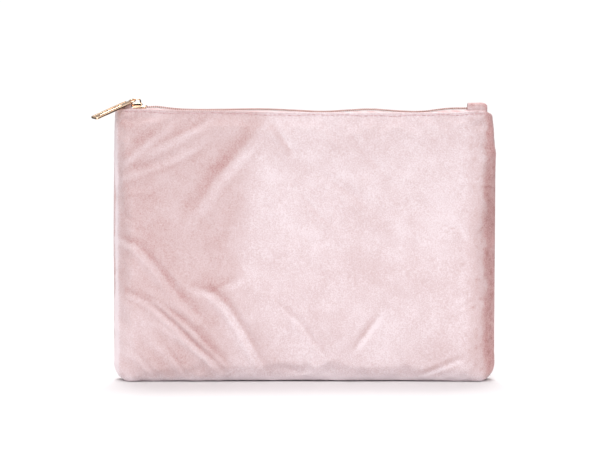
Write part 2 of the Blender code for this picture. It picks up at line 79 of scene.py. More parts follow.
# How the outline leaves the CAD's: a bulge of the left side, an arch under the bottom, dropped top
# corners and sides that lean in towards the top.
LEFT_BULGE = 0.9 * MM
LEFT_BULGE_FADE = 90 * MM
BOTTOM_ARCH = 0.6 * MM
BOTTOM_ARCH_HALF = 108 * MM
BOTTOM_ARCH_TOP = 26 * MM
TOP_CORNER_DROP = 2.5 * MM
TOP_CORNER_STEEPNESS = 8
LEFT_DROP_SHARE = 0.4
NARROWING_LEFT = 0.6 * MM
NARROWING_RIGHT = 2.4 * MM
NARROWING_START = 140 * MM

# Layers, from outside in.
VELVET = 0.6 * MM
INTERLINING_DEPTH = 1.5 * MM
INTERLINING = 1.1 * MM
INTERLINING_TOP = 157 * MM
TAPE_DEPTH = 1.75 * MM
TAPE = 0.4 * MM
LINING = 0.3 * MM
LINING_DEPTH = 3.0 * MM
LINING_DEPTH_TOP = 2.4 * MM
LINING_TOP = 166.5 * MM
TAPE_BOTTOM = 163 * MM

# The seam round the sides and bottom.
RIM = 0.45 * MM
SEAM = 0.8 * MM
SEAM_WIDTH = 8 * MM
SEAM_INSET = 0.3 * MM
SEAM_TOP = 169.3 * MM
SEAM_CORNER_Z = 6.0 * MM
SEAM_CORNER_INSET = 1.2 * MM
SEAM_CORNER_X = 108 * MM
SEAM_CORNER_RUN = 4 * MM
SEAM_VALLEY = 0.35 * MM
SEAM_VALLEY_ANGLE = math.radians(9)

# Where the linings and waddings keep clear of the velvet's round bottom corners and deep creases.
INNER_CORNER_X = 110 * MM
INNER_CORNER_Z = 12 * MM
INNER_CORNER_RUN = 8 * MM
INNER_CORNER_PULL = 2.0 * MM
CREASE_SPREAD = 0.25 * MM
CREASE_CLEARANCE = 1.5 * MM

# Grid of a panel.
ARC_STEPS = 12
BOTTOM_STEPS = 8
MIDDLE_COLUMNS = 130
ROW_SPACING = 1.7 * MM
TOP_ROWS_START = 160 * MM
TOP_ROW_SPACING = 0.9 * MM
FOLD_RADIUS = 0.7 * MM
FOLD_STEPS = 6
HEM_LENGTH = 7 * MM
HEM_CLEARANCE = 1.1 * MM
HEM_CORNER = 7 * MM

# How the folded top edge and the zip rise and dip along the pouch: (x, height over the CAD's) in mm.
FOLD_LINE = (
    (-120, 0.2), (-114, 0.5), (-106, 0.6), (-88, -0.1), (-47, -0.7), (-9, -1.6), (30, -1.9), (97, -1.8),
    (105, -0.7), (114, -0.4), (117, -1.2), (120, -2.4),
)
FOLD_LINE_START = 148 * MM
ZIP_LINE = (
    (-104, 0.0), (-100, 0.6), (-97, 1.5), (-93, 1.0), (-88, 0.3), (-80, -0.7), (-65, -1.1), (-50, -0.9),
    (-28, -0.5), (-10, -1.2), (11, -2.4), (26, -1.4), (41, -0.5), (52, -1.4), (62, -2.1), (73, -2.4),
    (80, -1.5), (86, -0.45), (90, -0.1), (104, 0.0),
)
LINE_BLUR = 5 * MM
TAPE_Z = 170.45 * MM
TAPE_END_X = 113 * MM
TAPE_LEG = (TAPE_BOTTOM, 165.5 * MM, 167.6 * MM)
# Past the leg: (depth, height over TAPE_Z) in mm, and the share of the zip's rise that it follows.
TAPE_BEND = (
    (4.2, -1.3, 0.9), (3.9, -0.5, 1), (3.4, -0.1, 1), (2.6, 0.05, 1), (1.9, 0, 1), (1.25, 0, 1),
)
COIL_Z = 171.6 * MM
COIL_HALF_HEIGHT = 0.36 * MM
COIL_PITCH = 1.25 * MM
COIL_WIRE = 0.22 * MM
COIL_START_X = -104.9 * MM
COIL_END_X = 103.5 * MM
COIL_POINTS = 16
COIL_THREAD = 0.08 * MM
COIL_THREAD_PLACES = (0.9 * MM, 1.35 * MM)
COIL_THREAD_RISE = 0.34 * MM
COIL_THREAD_BOB = 0.05 * MM

# The velvet tab over the zip's open end, and the tape's turned end at the closed one.
TAB_ARC = 4.5 * MM
TAB_FOOT = 167.6 * MM
TAB_TOP = 175.1 * MM
TAB_HALF = 3.9 * MM
TAB_LEAN = 0.9 * MM
TAB_CLOSING = (0.6, 0.2)
TURNED_END_X = -108.95 * MM
TURNED_END_FOOT = 170.6 * MM

# The slider, its arch and the puller hanging from it.
SLIDER_X = -103.6 * MM
SLIDER_HALF = 3.7 * MM
FLANGE_SHARE = 3.66 / 3.7
BAIL_X = -105.8 * MM
BAIL_CENTRE_Z = 175.8 * MM
BAIL_RADIUS = 2.6 * MM
BAIL_WIRE = 0.44 * MM
BAIL_RISE = 1.75 * MM
PULLER_YAW = math.radians(38)
PULLER_PITCH = math.radians(19.5)
PULLER_ROLL = math.radians(-7)
EYE_ANGLE = math.radians(170)
EYE_HOLE = 1.3 * MM
EYE_RING = 2.4 * MM
BAR_START = 3.2 * MM
BAR_END = 30.6 * MM
BAR_HALF_WIDTH = 3.25 * MM

# Topstitching below the fold.
STITCH_DROP = 1.9 * MM
STITCH_LENGTH = 2.5 * MM
STITCH_GAP = 0.5 * MM
STITCH_STEPS = 6
STITCH_DENT = 0.3 * MM
THREAD = 0.36 * MM
STITCH_END_X = 113 * MM

# The cloth simulation: its settings, its length and how far it may move a point.
CLOTH = {
    "quality": 6, "mass": 0.15, "tension_stiffness": 18, "compression_stiffness": 18, "shear_stiffness": 8,
    "bending_stiffness": 0.4, "shrink_min": -0.012, "shrink_max": -0.012, "use_pressure": True,
    "uniform_pressure_force": 4,
}
SIM_FRAMES = 20
SIM_CAP = 2.2 * MM

# A crease's banks beside its valley: share of the ridge, place and width in crease widths.
CREASE_GAIN = 1.15
CREASE_NARROWING = 0.7
CREASE_BANKS = ((1.7, -1.4, 0.6), (0.8, 2.0, 1.0))

# Soft unevenness of a panel: height in mm, scale and seed of its noise.
UNEVENNESS = ((0.7, 28, 0), (0.30, 85, 9), (0.12, 170, 4))
WRINKLE_HEIGHT = 0.85 * MM
FRONT_SEED = 1.7
BACK_SEED = 6.3

# Creases: depth, width and ridge beside it in mm; how much painted shade lies on one side, going along
# the line (its left side if above 0, its right side if below), with half as much painted highlight on
# the other; then the line, as (x, z) in mm.
FRONT_CREASES = (
    (0.5, 4.0, 0.3, -0.09, ((-117, 130), (-100, 135), (-84, 141), (-66, 150))),
    (0.4, 3.0, 0.2, -0.12, ((-117, 119), (-110, 122), (-98, 122))),
    (0.3, 4.0, 0.2, 0.08, ((-114, 138), (-98, 152), (-86, 160))),
    (0.3, 4.0, 0.1, 0.08, ((-92, 148), (-76, 156), (-60, 165))),
    (0.6, 7.0, 0.2, 0.19, ((-69, 108), (-56, 128), (-44, 141), (-29, 159))),
    (0.3, 6.0, 0.0, -0.05, ((-84, 122), (-72, 112), (-58, 98))),
    (0.3, 6.0, 0.0, -0.07, ((-74, 96), (-58, 92), (-44, 80), (-36, 66))),
    (0.7, 2.6, 0.3, -0.22, ((-19, 160), (-12, 150), (-7, 143))),
    (0.5, 1.9, 0.2, -0.10, ((28, 152), (42, 140), (54, 125))),
    (0.6, 5.0, 0.2, -0.08, ((8, 132), (27, 120), (46, 105))),
    (0.4, 2.2, 0.2, -0.10, ((-1, 116), (10, 104), (25, 93))),
    (0.6, 1.7, 0.3, -0.22, ((84, 101), (94, 97), (101, 88))),
    (0.8, 4.0, 0.6, 0.22, ((-118, 91), (-104, 86), (-90, 70), (-80, 56), (-66, 42))),
    (1.1, 2.6, 0.8, 0.22, ((-111, 57), (-98, 51), (-84, 39), (-69, 24), (-50, 7))),
    (0.8, 2.2, 0.5, 0.18, ((-103, 57), (-90, 50), (-75, 38), (-60, 23), (-46, 9))),
    (0.9, 4.0, 0.6, 0.34, ((-68, 60), (-56, 56), (-47, 47), (-39, 34), (-31, 20), (-23, 5))),
    (0.8, 2.4, 0.4, 0.16, ((-106, 20), (-93, 4))),
    (0.8, 2.0, 0.4, 0.16, ((-86, 21), (-73, 3))),
    (0.5, 2.6, 0.3, 0.12, ((-17, 50), (-3, 38), (13, 16))),
    (0.6, 3.2, 0.2, 0.12, ((31, 21), (47, 43))),
    (0.5, 2.4, 0.3, 0.08, ((71, 4), (100, 16))),
    (0.3, 4.0, 0.1, 0.08, ((-55, 60), (-38, 66))),
    (0.4, 2.0, 0.2, -0.12, ((95, 46), (107, 52))),
    (0.4, 3.0, 0.2, 0.0, ((16, 157), (25, 147))),
)
BACK_CREASES = (
    (0.8, 4.0, 0.6, -0.18, ((112, 140), (90, 128), (66, 119))),
    (0.8, 3.0, 0.4, -0.16, ((116, 96), (98, 84), (80, 66), (70, 50))),
    (1.0, 3.2, 0.7, 0.24, ((-20, 160), (-6, 138), (2, 118))),
    (0.6, 2.6, 0.3, -0.12, ((30, 158), (24, 144), (26, 132))),
    (1.0, 3.0, 0.6, 0.20, ((-110, 60), (-92, 46), (-74, 22), (-60, 6))),
    (0.8, 2.6, 0.4, 0.14, ((-60, 52), (-44, 38), (-30, 14))),
    (0.6, 4.0, 0.3, 0.10, ((-70, 120), (-52, 104), (-30, 96))),
    (0.8, 2.4, 0.4, 0.12, ((104, 24), (84, 6))),
    (0.5, 3.0, 0.3, 0.10, ((20, 40), (34, 26), (44, 6))),
    (0.5, 3.0, 0.3, 0.12, ((-112, 128), (-96, 138), (-84, 152))),
)

# Camera.
AIM = Vector((-6.3, 0, 93)) * MM
ELEVATION = math.radians(5)
DISTANCE = 1.6
FOCAL_LENGTH = 155
SENSOR_WIDTH = 36


# ---------------- materials


def feed(tree, socket, value):
    """Gives a socket a fixed number or links another node's output to it."""
    if isinstance(value, (int, float)):
        socket.default_value = value
    else:
        tree.links.new(value, socket)


class Nodes:
    """Short ways to add and join the nodes of one material or world."""

    def __init__(self, name, kind="materials"):
        self.owner = getattr(bpy.data, kind).new(name)
        self.owner.use_nodes = True
        self.tree = self.owner.node_tree

    def add(self, kind, **values):
        node = self.tree.nodes.new("ShaderNode" + kind)
        for name, value in values.items():
            if name in node.inputs:
                node.inputs[name].default_value = value
            else:
                setattr(node, name, value)
        return node

    def link(self, start, end):
        self.tree.links.new(start, end)

    def place(self, scale=(1, 1, 1)):
        """The point on the piece, in metres, stretched by scale."""
        mapping = self.add("Mapping")
        mapping.inputs["Scale"].default_value = scale
        self.link(self.add("TexCoord").outputs["Object"], mapping.inputs["Vector"])
        return mapping.outputs["Vector"]

    def noise(self, scale, detail=2.0, distortion=0.0, place=None):
        node = self.add("TexNoise", Scale=scale, Detail=detail, Distortion=distortion)
        self.link(place or self.place(), node.inputs["Vector"])
        return node.outputs["Fac"]

    def wave(self, scale, direction, distortion=0.0, place=None):
        node = self.add("TexWave", Scale=scale, Distortion=distortion, bands_direction=direction)
        self.link(place or self.place(), node.inputs["Vector"])
        return node.outputs["Fac"]

    def math(self, operation, first, second=0.0):
        node = self.add("Math", operation=operation)
        for socket, value in zip(node.inputs, (first, second)):
            feed(self.tree, socket, value)
        return node.outputs[0]

    def swing(self, value, amount):
        """The value, a share from 0 to 1, as a number from -amount/2 to amount/2."""
        return self.math("MULTIPLY", self.math("SUBTRACT", value, 0.5), amount)

    def ramp(self, value, *stops):
        node = self.add("ValToRGB")
        elements = node.color_ramp.elements
        while len(elements) < len(stops):
            elements.new(0.5)
        for element, (place, colour) in zip(elements, stops):
            element.position = place
            element.color = (*colour, 1)
        self.link(value, node.inputs["Fac"])
        return node.outputs["Color"]

    def bump(self, height, distance, strength=1.0, under=None):
        node = self.add("Bump", Distance=distance, Strength=strength)
        self.link(height, node.inputs["Height"])
        if under:
            self.link(under, node.inputs["Normal"])
        return node.outputs["Normal"]

    def finish(self, colour, normal, roughness, **values):
        sockets = self.tree.nodes["Principled BSDF"].inputs
        self.link(colour, sockets["Base Color"])
        self.link(normal, sockets["Normal"])
        feed(self.tree, sockets["Roughness"], roughness)
        for name, value in values.items():
            sockets[name.replace("_", " ")].default_value = value
        return self.owner


def velvet_material():
    """Crushed velvet: its attribute holds painted light and shade over a mottled tone, which noise mottles
    further.
    """
    n = Nodes("blush_velvet")
    tone_and_painted_light = n.add("Attribute", attribute_name="tone_and_painted_light").outputs["Fac"]
    grain = n.noise(1250, 2)
    fibres = n.noise(3200, 2)
    mottle = n.noise(90, 5, 1.0)
    streaks = n.noise(300, 4, 0.8, n.place((1.5, 1.0, 0.8)))
    share = tone_and_painted_light
    for texture, amount in ((mottle, 0.22), (streaks, 0.22), (grain, 0.72), (fibres, 0.40)):
        share = n.math("ADD", share, n.swing(texture, amount))
    colour = n.ramp(
        share,
        (0.0, (0.42, 0.20, 0.19)),
        (0.25, (0.57, 0.33, 0.325)),
        (0.5, (0.67, 0.49, 0.49)),
        (0.75, (0.75, 0.595, 0.61)),
        (1.0, (0.88, 0.76, 0.79)),
    )
    pile = n.bump(grain, 0.25 * MM, 0.8)
    normal = n.bump(streaks, 0.35 * MM, 0.5, pile)
    tint = (1.0, 0.90, 0.91, 1)
    return n.finish(colour, normal, 0.85, Sheen_Weight=0.35, Sheen_Roughness=0.4, Sheen_Tint=tint)


def woven_material(name, dark, light, thread, roughness, sheen):
    """Plain weave: two crossed sets of fine bands, thread apart, with slight streaks."""
    n = Nodes(name)
    scale = 1 / (thread * 20)
    across = n.wave(scale, "X", 0.4)
    along = n.wave(scale, "Z", 0.4)
    weave = n.math("MULTIPLY", across, along)
    tone = n.math("ADD", n.math("MULTIPLY", weave, 0.5), n.math("MULTIPLY", n.noise(90, 4), 0.5))
    colour = n.ramp(tone, (0.15, dark), (0.75, light))
    return n.finish(colour, n.bump(weave, 0.1 * MM, 0.6), roughness, Sheen_Weight=sheen)


def tape_material():
    """Woven tape: diagonal ribs over a fine grain."""
    n = Nodes("rose_zip_tape")
    ribs = n.wave(70, "DIAGONAL", 1.5)
    fine = n.noise(1400, 3)
    tone = n.math("ADD", n.math("MULTIPLY", ribs, 0.45), n.math("MULTIPLY", fine, 0.55))
    colour = n.ramp(tone, (0.2, (0.68, 0.45, 0.45)), (0.8, (0.85, 0.67, 0.67)))
    return n.finish(colour, n.bump(ribs, 0.12 * MM, 0.7), 0.75, Sheen_Weight=0.2)


def nylon_material():
    """Semi-gloss nylon of the coil and its stops, with painted shade towards the middle of the zip, where
    the coil's heads meet.
    """
    n = Nodes("rose_nylon_coil")
    parts = n.add("SeparateXYZ")
    n.link(n.place(), parts.inputs["Vector"])
    # Painted shade: darker towards the middle of the zip, where the heads meet, and lighter outwards.
    outward = n.math("MULTIPLY", n.math("ABSOLUTE", parts.outputs["Y"]), 330.0)
    tone = n.math("ADD", outward, n.swing(n.noise(420, 3), 0.3))
    colour = n.ramp(tone, (0.3, (0.36, 0.11, 0.07)), (0.68, (0.94, 0.66, 0.60)))
    rough = n.math("ADD", n.math("MULTIPLY", n.noise(900, 2), 0.2), 0.28)
    return n.finish(colour, n.bump(n.noise(2600, 2), 0.03 * MM, 0.4), rough, Coat_Weight=0.15)


def thread_material():
    """Twisted polyester thread."""
    n = Nodes("rose_thread")
    twist = n.wave(120, "DIAGONAL", 0.5)
    colour = n.ramp(twist, (0.1, (0.56, 0.29, 0.31)), (0.9, (0.74, 0.47, 0.49)))
    return n.finish(colour, n.bump(twist, 0.08 * MM, 0.8), 0.6, Sheen_Weight=0.2)


def wadding_material():
    """Soft white fluff."""
    n = Nodes("white_wadding")
    fluff = n.noise(700, 6, 0.8)
    colour = n.ramp(fluff, (0.3, (0.74, 0.73, 0.70)), (0.7, (0.93, 0.92, 0.90)))
    return n.finish(colour, n.bump(fluff, 0.5 * MM, 0.9), 0.95, Sheen_Weight=0.3)


def gold_material():
    """Polished light-gold plating, with fine scratches and slightly worn brightness."""
    n = Nodes("light_gold")
    scratches = n.noise(900, 4, 0.3, n.place((1, 6, 1)))
    patches = n.noise(260, 3)
    colour = n.ramp(patches, (0.3, (0.80, 0.52, 0.34)), (0.7, (0.97, 0.73, 0.54)))
    rough = n.math("ADD", n.math("MULTIPLY", scratches, 0.12), 0.10)
    return n.finish(colour, n.bump(scratches, 0.02 * MM, 0.2), rough, Metallic=1.0)


def floor_material():
    """A pale, slightly pink matt board."""
    n = Nodes("studio_floor")
    colour = n.ramp(n.noise(3, 3), (0.3, (0.74, 0.722, 0.730)), (0.7, (0.76, 0.742, 0.750)))
    return n.finish(colour, n.bump(n.noise(400, 2), 0.1 * MM, 0.05), 0.7)


# ---------------- meshes


def signed_power(value, exponent):
    """The size of a value raised to a power, with the value's own sign."""
    return math.copysign(abs(value) ** exponent, value)


def bell(distance, width):
    """1 at no distance, falling off softly on both sides."""
    return np.exp(-((distance / width) ** 2))


def smoothstep(t):
    """0 up to 0, 1 from 1 on, and a soft rise between."""
    t = np.clip(t, 0, 1)
    return t * t * (3 - 2 * t)


def body_of(side):
    """The name of the body given for the front's or the back's pieces."""
    return "back_lip" if side == "back" else "root"


def new_object(name, vertices, faces, material):
    mesh = bpy.data.meshes.new(name)
    mesh.from_pydata([tuple(v) for v in vertices], [], [tuple(f) for f in faces])
    mesh.validate()
    mesh.shade_smooth()
    mesh.materials.append(material)
    obj = bpy.data.objects.new(name, mesh)
    bpy.context.scene.collection.objects.link(obj)
    return obj


def grid_faces(columns, rows, turned, wrap=False):
    """Quads over a grid of points stored column by column. Wrap joins the last row to the first."""
    faces = []
    for column in range(columns - 1):
        start, after = column * rows, (column + 1) * rows
        for row in range(rows if wrap else rows - 1):
            above = (row + 1) % rows
            quad = [start + row, after + row, after + above, start + above]
            faces.append(quad[::-1] if turned else quad)
    return faces


def grid_object(name, points, material, turned=False):
    columns, rows = points.shape[:2]
    return new_object(name, points.reshape(-1, 3), grid_faces(columns, rows, turned), material)


def add_subdivision(obj, levels=1):
    modifier = obj.modifiers.new("Subdivision", "SUBSURF")
    modifier.levels = levels
    modifier.render_levels = levels


def add_thickness(obj, thickness, offset=-1.0):
    modifier = obj.modifiers.new("Thickness", "SOLIDIFY")
    modifier.thickness = thickness
    modifier.offset = offset


def tube_parts(path, radius, sides):
    """Vertices and faces of a closed tube along a path."""
    path = np.asarray(path, float)
    tangents = np.gradient(path, axis=0)
    tangents /= np.linalg.norm(tangents, axis=1)[:, None]
    vertices = []
    normal = Vector((0.31, 0.17, 0.94))
    for point, tangent in zip(path, tangents):
        direction = Vector(tangent)
        normal = (normal - direction * normal.dot(direction)).normalized()
        other = direction.cross(normal)
        for side in range(sides):
            angle = 2 * math.pi * side / sides
            spoke = normal * math.cos(angle) + other * math.sin(angle)
            vertices.append(Vector(point) + spoke * radius)
    last = (len(path) - 1) * sides
    faces = grid_faces(len(path), sides, False, True)
    faces.append(list(range(sides)))
    faces.append(list(reversed(range(last, last + sides))))
    return vertices, faces


def lofted(rings):
    """Vertices and faces of a closed solid through rings of equal point counts, capped at both ends."""
    count = len(rings[0])
    vertices = [point for ring in rings for point in ring]
    faces = grid_faces(len(rings), count, True, True)
    faces.append(list(range(count)))
    faces.append([(len(rings) - 1) * count + index for index in reversed(range(count))])
    return vertices, faces


def joined(name, solids, material, place=None):
    """One object from several solids, each given as vertices and faces."""
    vertices = []
    faces = []
    for more, polygons in solids:
        start = len(vertices)
        vertices += [Vector(v) for v in more]
        faces += [[start + index for index in polygon] for polygon in polygons]
    if place:
        vertices = [place @ v for v in vertices]
    return new_object(name, vertices, faces, material)


def set_sharp(obj, degrees=32):
    obj.data.set_sharp_from_angle(angle=math.radians(degrees))


def line_height(line, x):
    """Smooth height of a line given by (x, height) in mm, at places in metres."""
    xs = np.array([point[0] for point in line], float) * MM
    heights = np.array([point[1] for point in line], float) * MM
    total = 0
    for shift in (-1, -0.5, 0.5, 1):
        total = total + 0.25 * np.interp(np.asarray(x) + shift * LINE_BLUR, xs, heights)
    return total


# ---------------- panels


def swelling(x, z):
    """Half the pouch's depth at a place on a panel, away from the seams."""
    along = np.minimum(1.0, (HEIGHT - z) / (HEIGHT - DEEPEST_Z))
    flatter = 1 - SIDE_FLATTENING * (2 * x / WIDTH) ** 2
    return HALF_DEPTH_TOP + (HALF_DEPTH_MAX - HALF_DEPTH_TOP) * np.sin(along * math.pi / 2) * flatter


def panel_columns():
    """Each column as (side, arc angle, share of the flat middle's half width)."""
    angles = [math.pi / 2 * step / ARC_STEPS for step in range(ARC_STEPS)]
    left = [(-1, angle, 0.0) for angle in angles]
    middle = [(0, math.pi / 2, 2 * step / MIDDLE_COLUMNS - 1) for step in range(MIDDLE_COLUMNS + 1)]
    right = [(1, angle, 0.0) for angle in reversed(angles)]
    return np.array(left + middle + right)


def panel_rows(top):
    """Each row as (height, share of the depth reached there, share of the way to the bottom seam)."""
    flat_share = (BOTTOM_FLAT - RIM) / (HALF_DEPTH_MAX - RIM)
    rows = [(0.0, flat_share * share, 1 - share) for share in (0.0, 0.25, 0.5, 1.0)]
    for step in range(1, BOTTOM_STEPS + 1):
        angle = math.pi / 2 * step / BOTTOM_STEPS
        z = BOTTOM_ARC * (1 - math.cos(angle))
        rows.append((z, flat_share + (1 - flat_share) * math.sin(angle), 0.0))
    for low, high, spacing in (
        (BOTTOM_ARC, TOP_ROWS_START, ROW_SPACING),
        (TOP_ROWS_START, top, TOP_ROW_SPACING),
    ):
        count = round((high - low) / spacing)
        rows += [(z, 1.0, 0.0) for z in np.linspace(low, high, count + 1)[1:]]
    return np.array(rows)


def round_corners(x, z):
    """Moves points of the square-cornered outline onto the round-cornered one."""
    p = (np.abs(x) - (WIDTH / 2 - CORNER_RADIUS)) / CORNER_RADIUS
    q = (CORNER_RADIUS - z) / CORNER_RADIUS
    corner = (p > 0) & (q > 0)
    new_p = p * np.sqrt(np.clip(1 - q * q / 2, 0, 1))
    new_q = q * np.sqrt(np.clip(1 - p * p / 2, 0, 1))
    across = np.copysign(WIDTH / 2 - CORNER_RADIUS + new_p * CORNER_RADIUS, x)
    return np.where(corner, across, x), np.where(corner, CORNER_RADIUS - new_q * CORNER_RADIUS, z)


def panel_base():
    """The front panel's smooth outer face, as points by column and row."""
    columns = panel_columns()
    rows = panel_rows(HEIGHT - FOLD_RADIUS)
    side, angle, share = (columns[:, None, k] for k in range(3))
    z, depth_share, seam = (rows[None, :, k] for k in range(3))
    arc = np.minimum(SIDE_ARC, SIDE_ARC_PER_DEPTH * swelling(WIDTH / 2, z))
    valley = SEAM_VALLEY * bell(angle, SEAM_VALLEY_ANGLE)
    at_side = side * (WIDTH / 2 - arc * (1 - np.cos(angle)) - valley)
    x = np.where(side == 0, share * (WIDTH / 2 - arc), at_side)
    depth = RIM + (swelling(x, z) - RIM) * (np.sin(angle) * depth_share)
    drop = np.where(side < 0, LEFT_DROP_SHARE, 1.0) * TOP_CORNER_DROP * (1 - np.sin(angle))
    drop = drop * (z / HEIGHT) ** TOP_CORNER_STEEPNESS
    x, z = round_corners(x, z - drop + SEAM_VALLEY * seam**3)
    near_fold = smoothstep((z - FOLD_LINE_START) / (HEIGHT - FOLD_LINE_START))
    z = z + line_height(FOLD_LINE, x) * near_fold
    arch = np.clip(1 - (x / BOTTOM_ARCH_HALF) ** 2, 0, 1)
    z = z + BOTTOM_ARCH * arch * smoothstep(1 - z / BOTTOM_ARCH_TOP)
    narrowing = np.where(x > 0, NARROWING_RIGHT, NARROWING_LEFT) * (np.abs(x) / (WIDTH / 2)) ** 3
    near_top = smoothstep((z - NARROWING_START) / (HEIGHT - NARROWING_START))
    x = x - np.sign(x) * narrowing * near_top
    bulge = np.clip(-2 * x / WIDTH, 0, 1) ** 6
    x = x - LEFT_BULGE * bulge * smoothstep((HEIGHT - z) / LEFT_BULGE_FADE)
    return np.stack(np.broadcast_arrays(x, -depth, z), axis=2)


def grid_normals(points):
    """Outward normals of the front panel's grid."""
    across = np.gradient(points, axis=0)
    up = np.gradient(points, axis=1)
    normals = np.cross(across, up)
    lengths = np.linalg.norm(normals, axis=2)[..., None]
    return normals / np.maximum(lengths, 1e-12)


def beside(x, z, line):
    """Distance of each point from a line, below 0 to its right going along it, and the line's strength."""
    points = np.array(line, float) * MM
    lengths = np.linalg.norm(np.diff(points, axis=0), axis=1)
    starts = np.concatenate([[0], np.cumsum(lengths)])
    nearest = np.full(x.shape, 1.0)
    signed = np.full(x.shape, 1.0)
    along = np.zeros_like(x)
    for (ax, az), (bx, bz), length, start in zip(points[:-1], points[1:], lengths, starts):
        dx, dz = (bx - ax) / length, (bz - az) / length
        run = np.clip((x - ax) * dx + (z - az) * dz, 0, length)
        off_x, off_z = x - ax - run * dx, z - az - run * dz
        distance = np.hypot(off_x, off_z)
        closer = distance < nearest
        nearest = np.where(closer, distance, nearest)
        signed = np.where(closer, np.copysign(distance, dx * off_z - dz * off_x), signed)
        along = np.where(closer, (start + run) / starts[-1], along)
    return signed, np.sin(math.pi * np.clip(0.06 + 0.88 * along, 0, 1)) ** 0.7


def crease_heights(x, z, creases):
    """How far the creases push each point of a panel outwards, in metres."""
    total = np.zeros_like(x)
    for depth, width, ridge, _, line in creases:
        signed, strength = beside(x, z, line)
        width = CREASE_NARROWING * width * MM
        height = -depth * bell(signed, width)
        for share, place, spread in CREASE_BANKS:
            height = height + share * ridge * bell(signed - place * width, spread * width)
        total += CREASE_GAIN * height * MM * strength
    return total


def crease_shades(x, z, creases):
    """Painted shade on one side of each crease and half as much painted highlight on the other."""
    total = np.zeros_like(x)
    for _, width, _, shade, line in creases:
        signed, strength = beside(x, z, line)
        signed = signed * math.copysign(1, shade)
        width = width * MM
        over = smoothstep(signed / (0.45 * width) + 0.5)
        dark = over * np.exp(-np.maximum(signed, 0) / (2.4 * width))
        bright = (1 - over) * np.exp(np.minimum(signed, 0) / (1.6 * width))
        total += abs(shade) * (0.5 * bright - dark) * strength
    return total


def wavy(points, scale, seed):
    """Smooth noise from -1 to 1 at each grid point."""
    places = points.reshape(-1, 3) * scale + np.array([seed, 0, -seed])
    return np.array([noise.noise(Vector(place)) for place in places]).reshape(points.shape[:2])


def wrinkles(points, lean, seed):
    """Fine sharp ridges from 0 to 1, long in the direction that leans from +X by an angle."""
    x, z = points[..., 0], points[..., 2]
    stretched = points.copy()
    stretched[..., 0] = 0.28 * (x * math.cos(lean) + z * math.sin(lean))
    stretched[..., 2] = z * math.cos(lean) - x * math.sin(lean)
    stretched[..., 1] = 0
    broad = np.clip(1 - 2.6 * np.abs(wavy(stretched, 62, seed)), 0, 1) ** 2
    fine = np.clip(1 - 3.0 * np.abs(wavy(stretched, 130, seed + 3)), 0, 1) ** 2
    return 0.75 * broad + 0.35 * fine


def crumpled(points):
    """How crumpled a panel is, from 0 to 1: most towards -X, low down and, by half, high up."""
    x, z = points[..., 0], points[..., 2]
    low_left = smoothstep((-20 * MM - x) / (50 * MM)) * smoothstep((85 * MM - z) / (45 * MM))
    top_left = 0.5 * smoothstep((-25 * MM - x) / (40 * MM)) * smoothstep((z - 95 * MM) / (30 * MM))
    return 0.12 + 0.88 * np.maximum(low_left, top_left)


def settled(points):
    """The panel after a short cloth simulation: air pushes it out, and spare cloth wrinkles it."""
    columns, rows = points.shape[:2]
    obj = grid_object("unsettled_panel", points, bpy.data.materials["blush_velvet"])
    pinned = obj.vertex_groups.new(name="sewn")
    held = np.zeros((columns, rows), bool)
    held[[0, -1]] = True
    held[:, :4] = True
    held[:, -4:] = True
    pinned.add(np.flatnonzero(held).tolist(), 1.0, "REPLACE")
    cloth = obj.modifiers.new("Cloth", "CLOTH").settings
    for name, value in CLOTH.items():
        setattr(cloth, name, value)
    cloth.vertex_group_mass = pinned.name
    cloth.effector_weights.gravity = 0
    scene = bpy.context.scene
    for frame_number in range(1, SIM_FRAMES + 1):
        scene.frame_set(frame_number)
    evaluated = obj.evaluated_get(bpy.context.evaluated_depsgraph_get())
    moved = np.array([vertex.co for vertex in evaluated.data.vertices]).reshape(points.shape)
    bpy.data.objects.remove(obj)
    scene.frame_set(1)
    shift = moved - points
    length = np.linalg.norm(shift, axis=2)[..., None]
    return points + shift * np.minimum(1.0, SIM_CAP / np.maximum(length, 1e-9))


def small_wrinkles(points, seed):
    """Small ridges: those of the lower half run down to the right, those above run up to the right."""
    low = smoothstep((95 * MM - points[..., 2]) / (20 * MM))
    down = wrinkles(points, math.radians(-42), seed)
    up = wrinkles(points, math.radians(38), seed + 5)
    return (low * down + (1 - low) * up) * crumpled(points)


def shaped_panel(base, creases, seed):
    """The panel's final outer face: simulated, then creased along the listed lines and softly uneven."""
    points = settled(base)
    x, z = base[..., 0], base[..., 2]
    columns = panel_columns()
    rows = panel_rows(HEIGHT - FOLD_RADIUS)
    free = np.sin(columns[:, 1])[:, None] ** 0.5 * smoothstep(rows[None, :, 1] * 1.5 - 0.5)
    free = free * (1 - 0.75 * smoothstep((z - 158 * MM) / (10 * MM)))
    height = crease_heights(x, z, creases) * free
    for amount, scale, step in UNEVENNESS:
        height += amount * MM * wavy(base, scale, seed + step) * free
    height += WRINKLE_HEIGHT * small_wrinkles(base, seed) * free
    stitched = HEIGHT + line_height(FOLD_LINE, x) - STITCH_DROP
    height -= STITCH_DENT * bell(z - stitched, 1.0 * MM) * np.sin(columns[:, 1])[:, None]
    return points + grid_normals(points) * height[..., None]


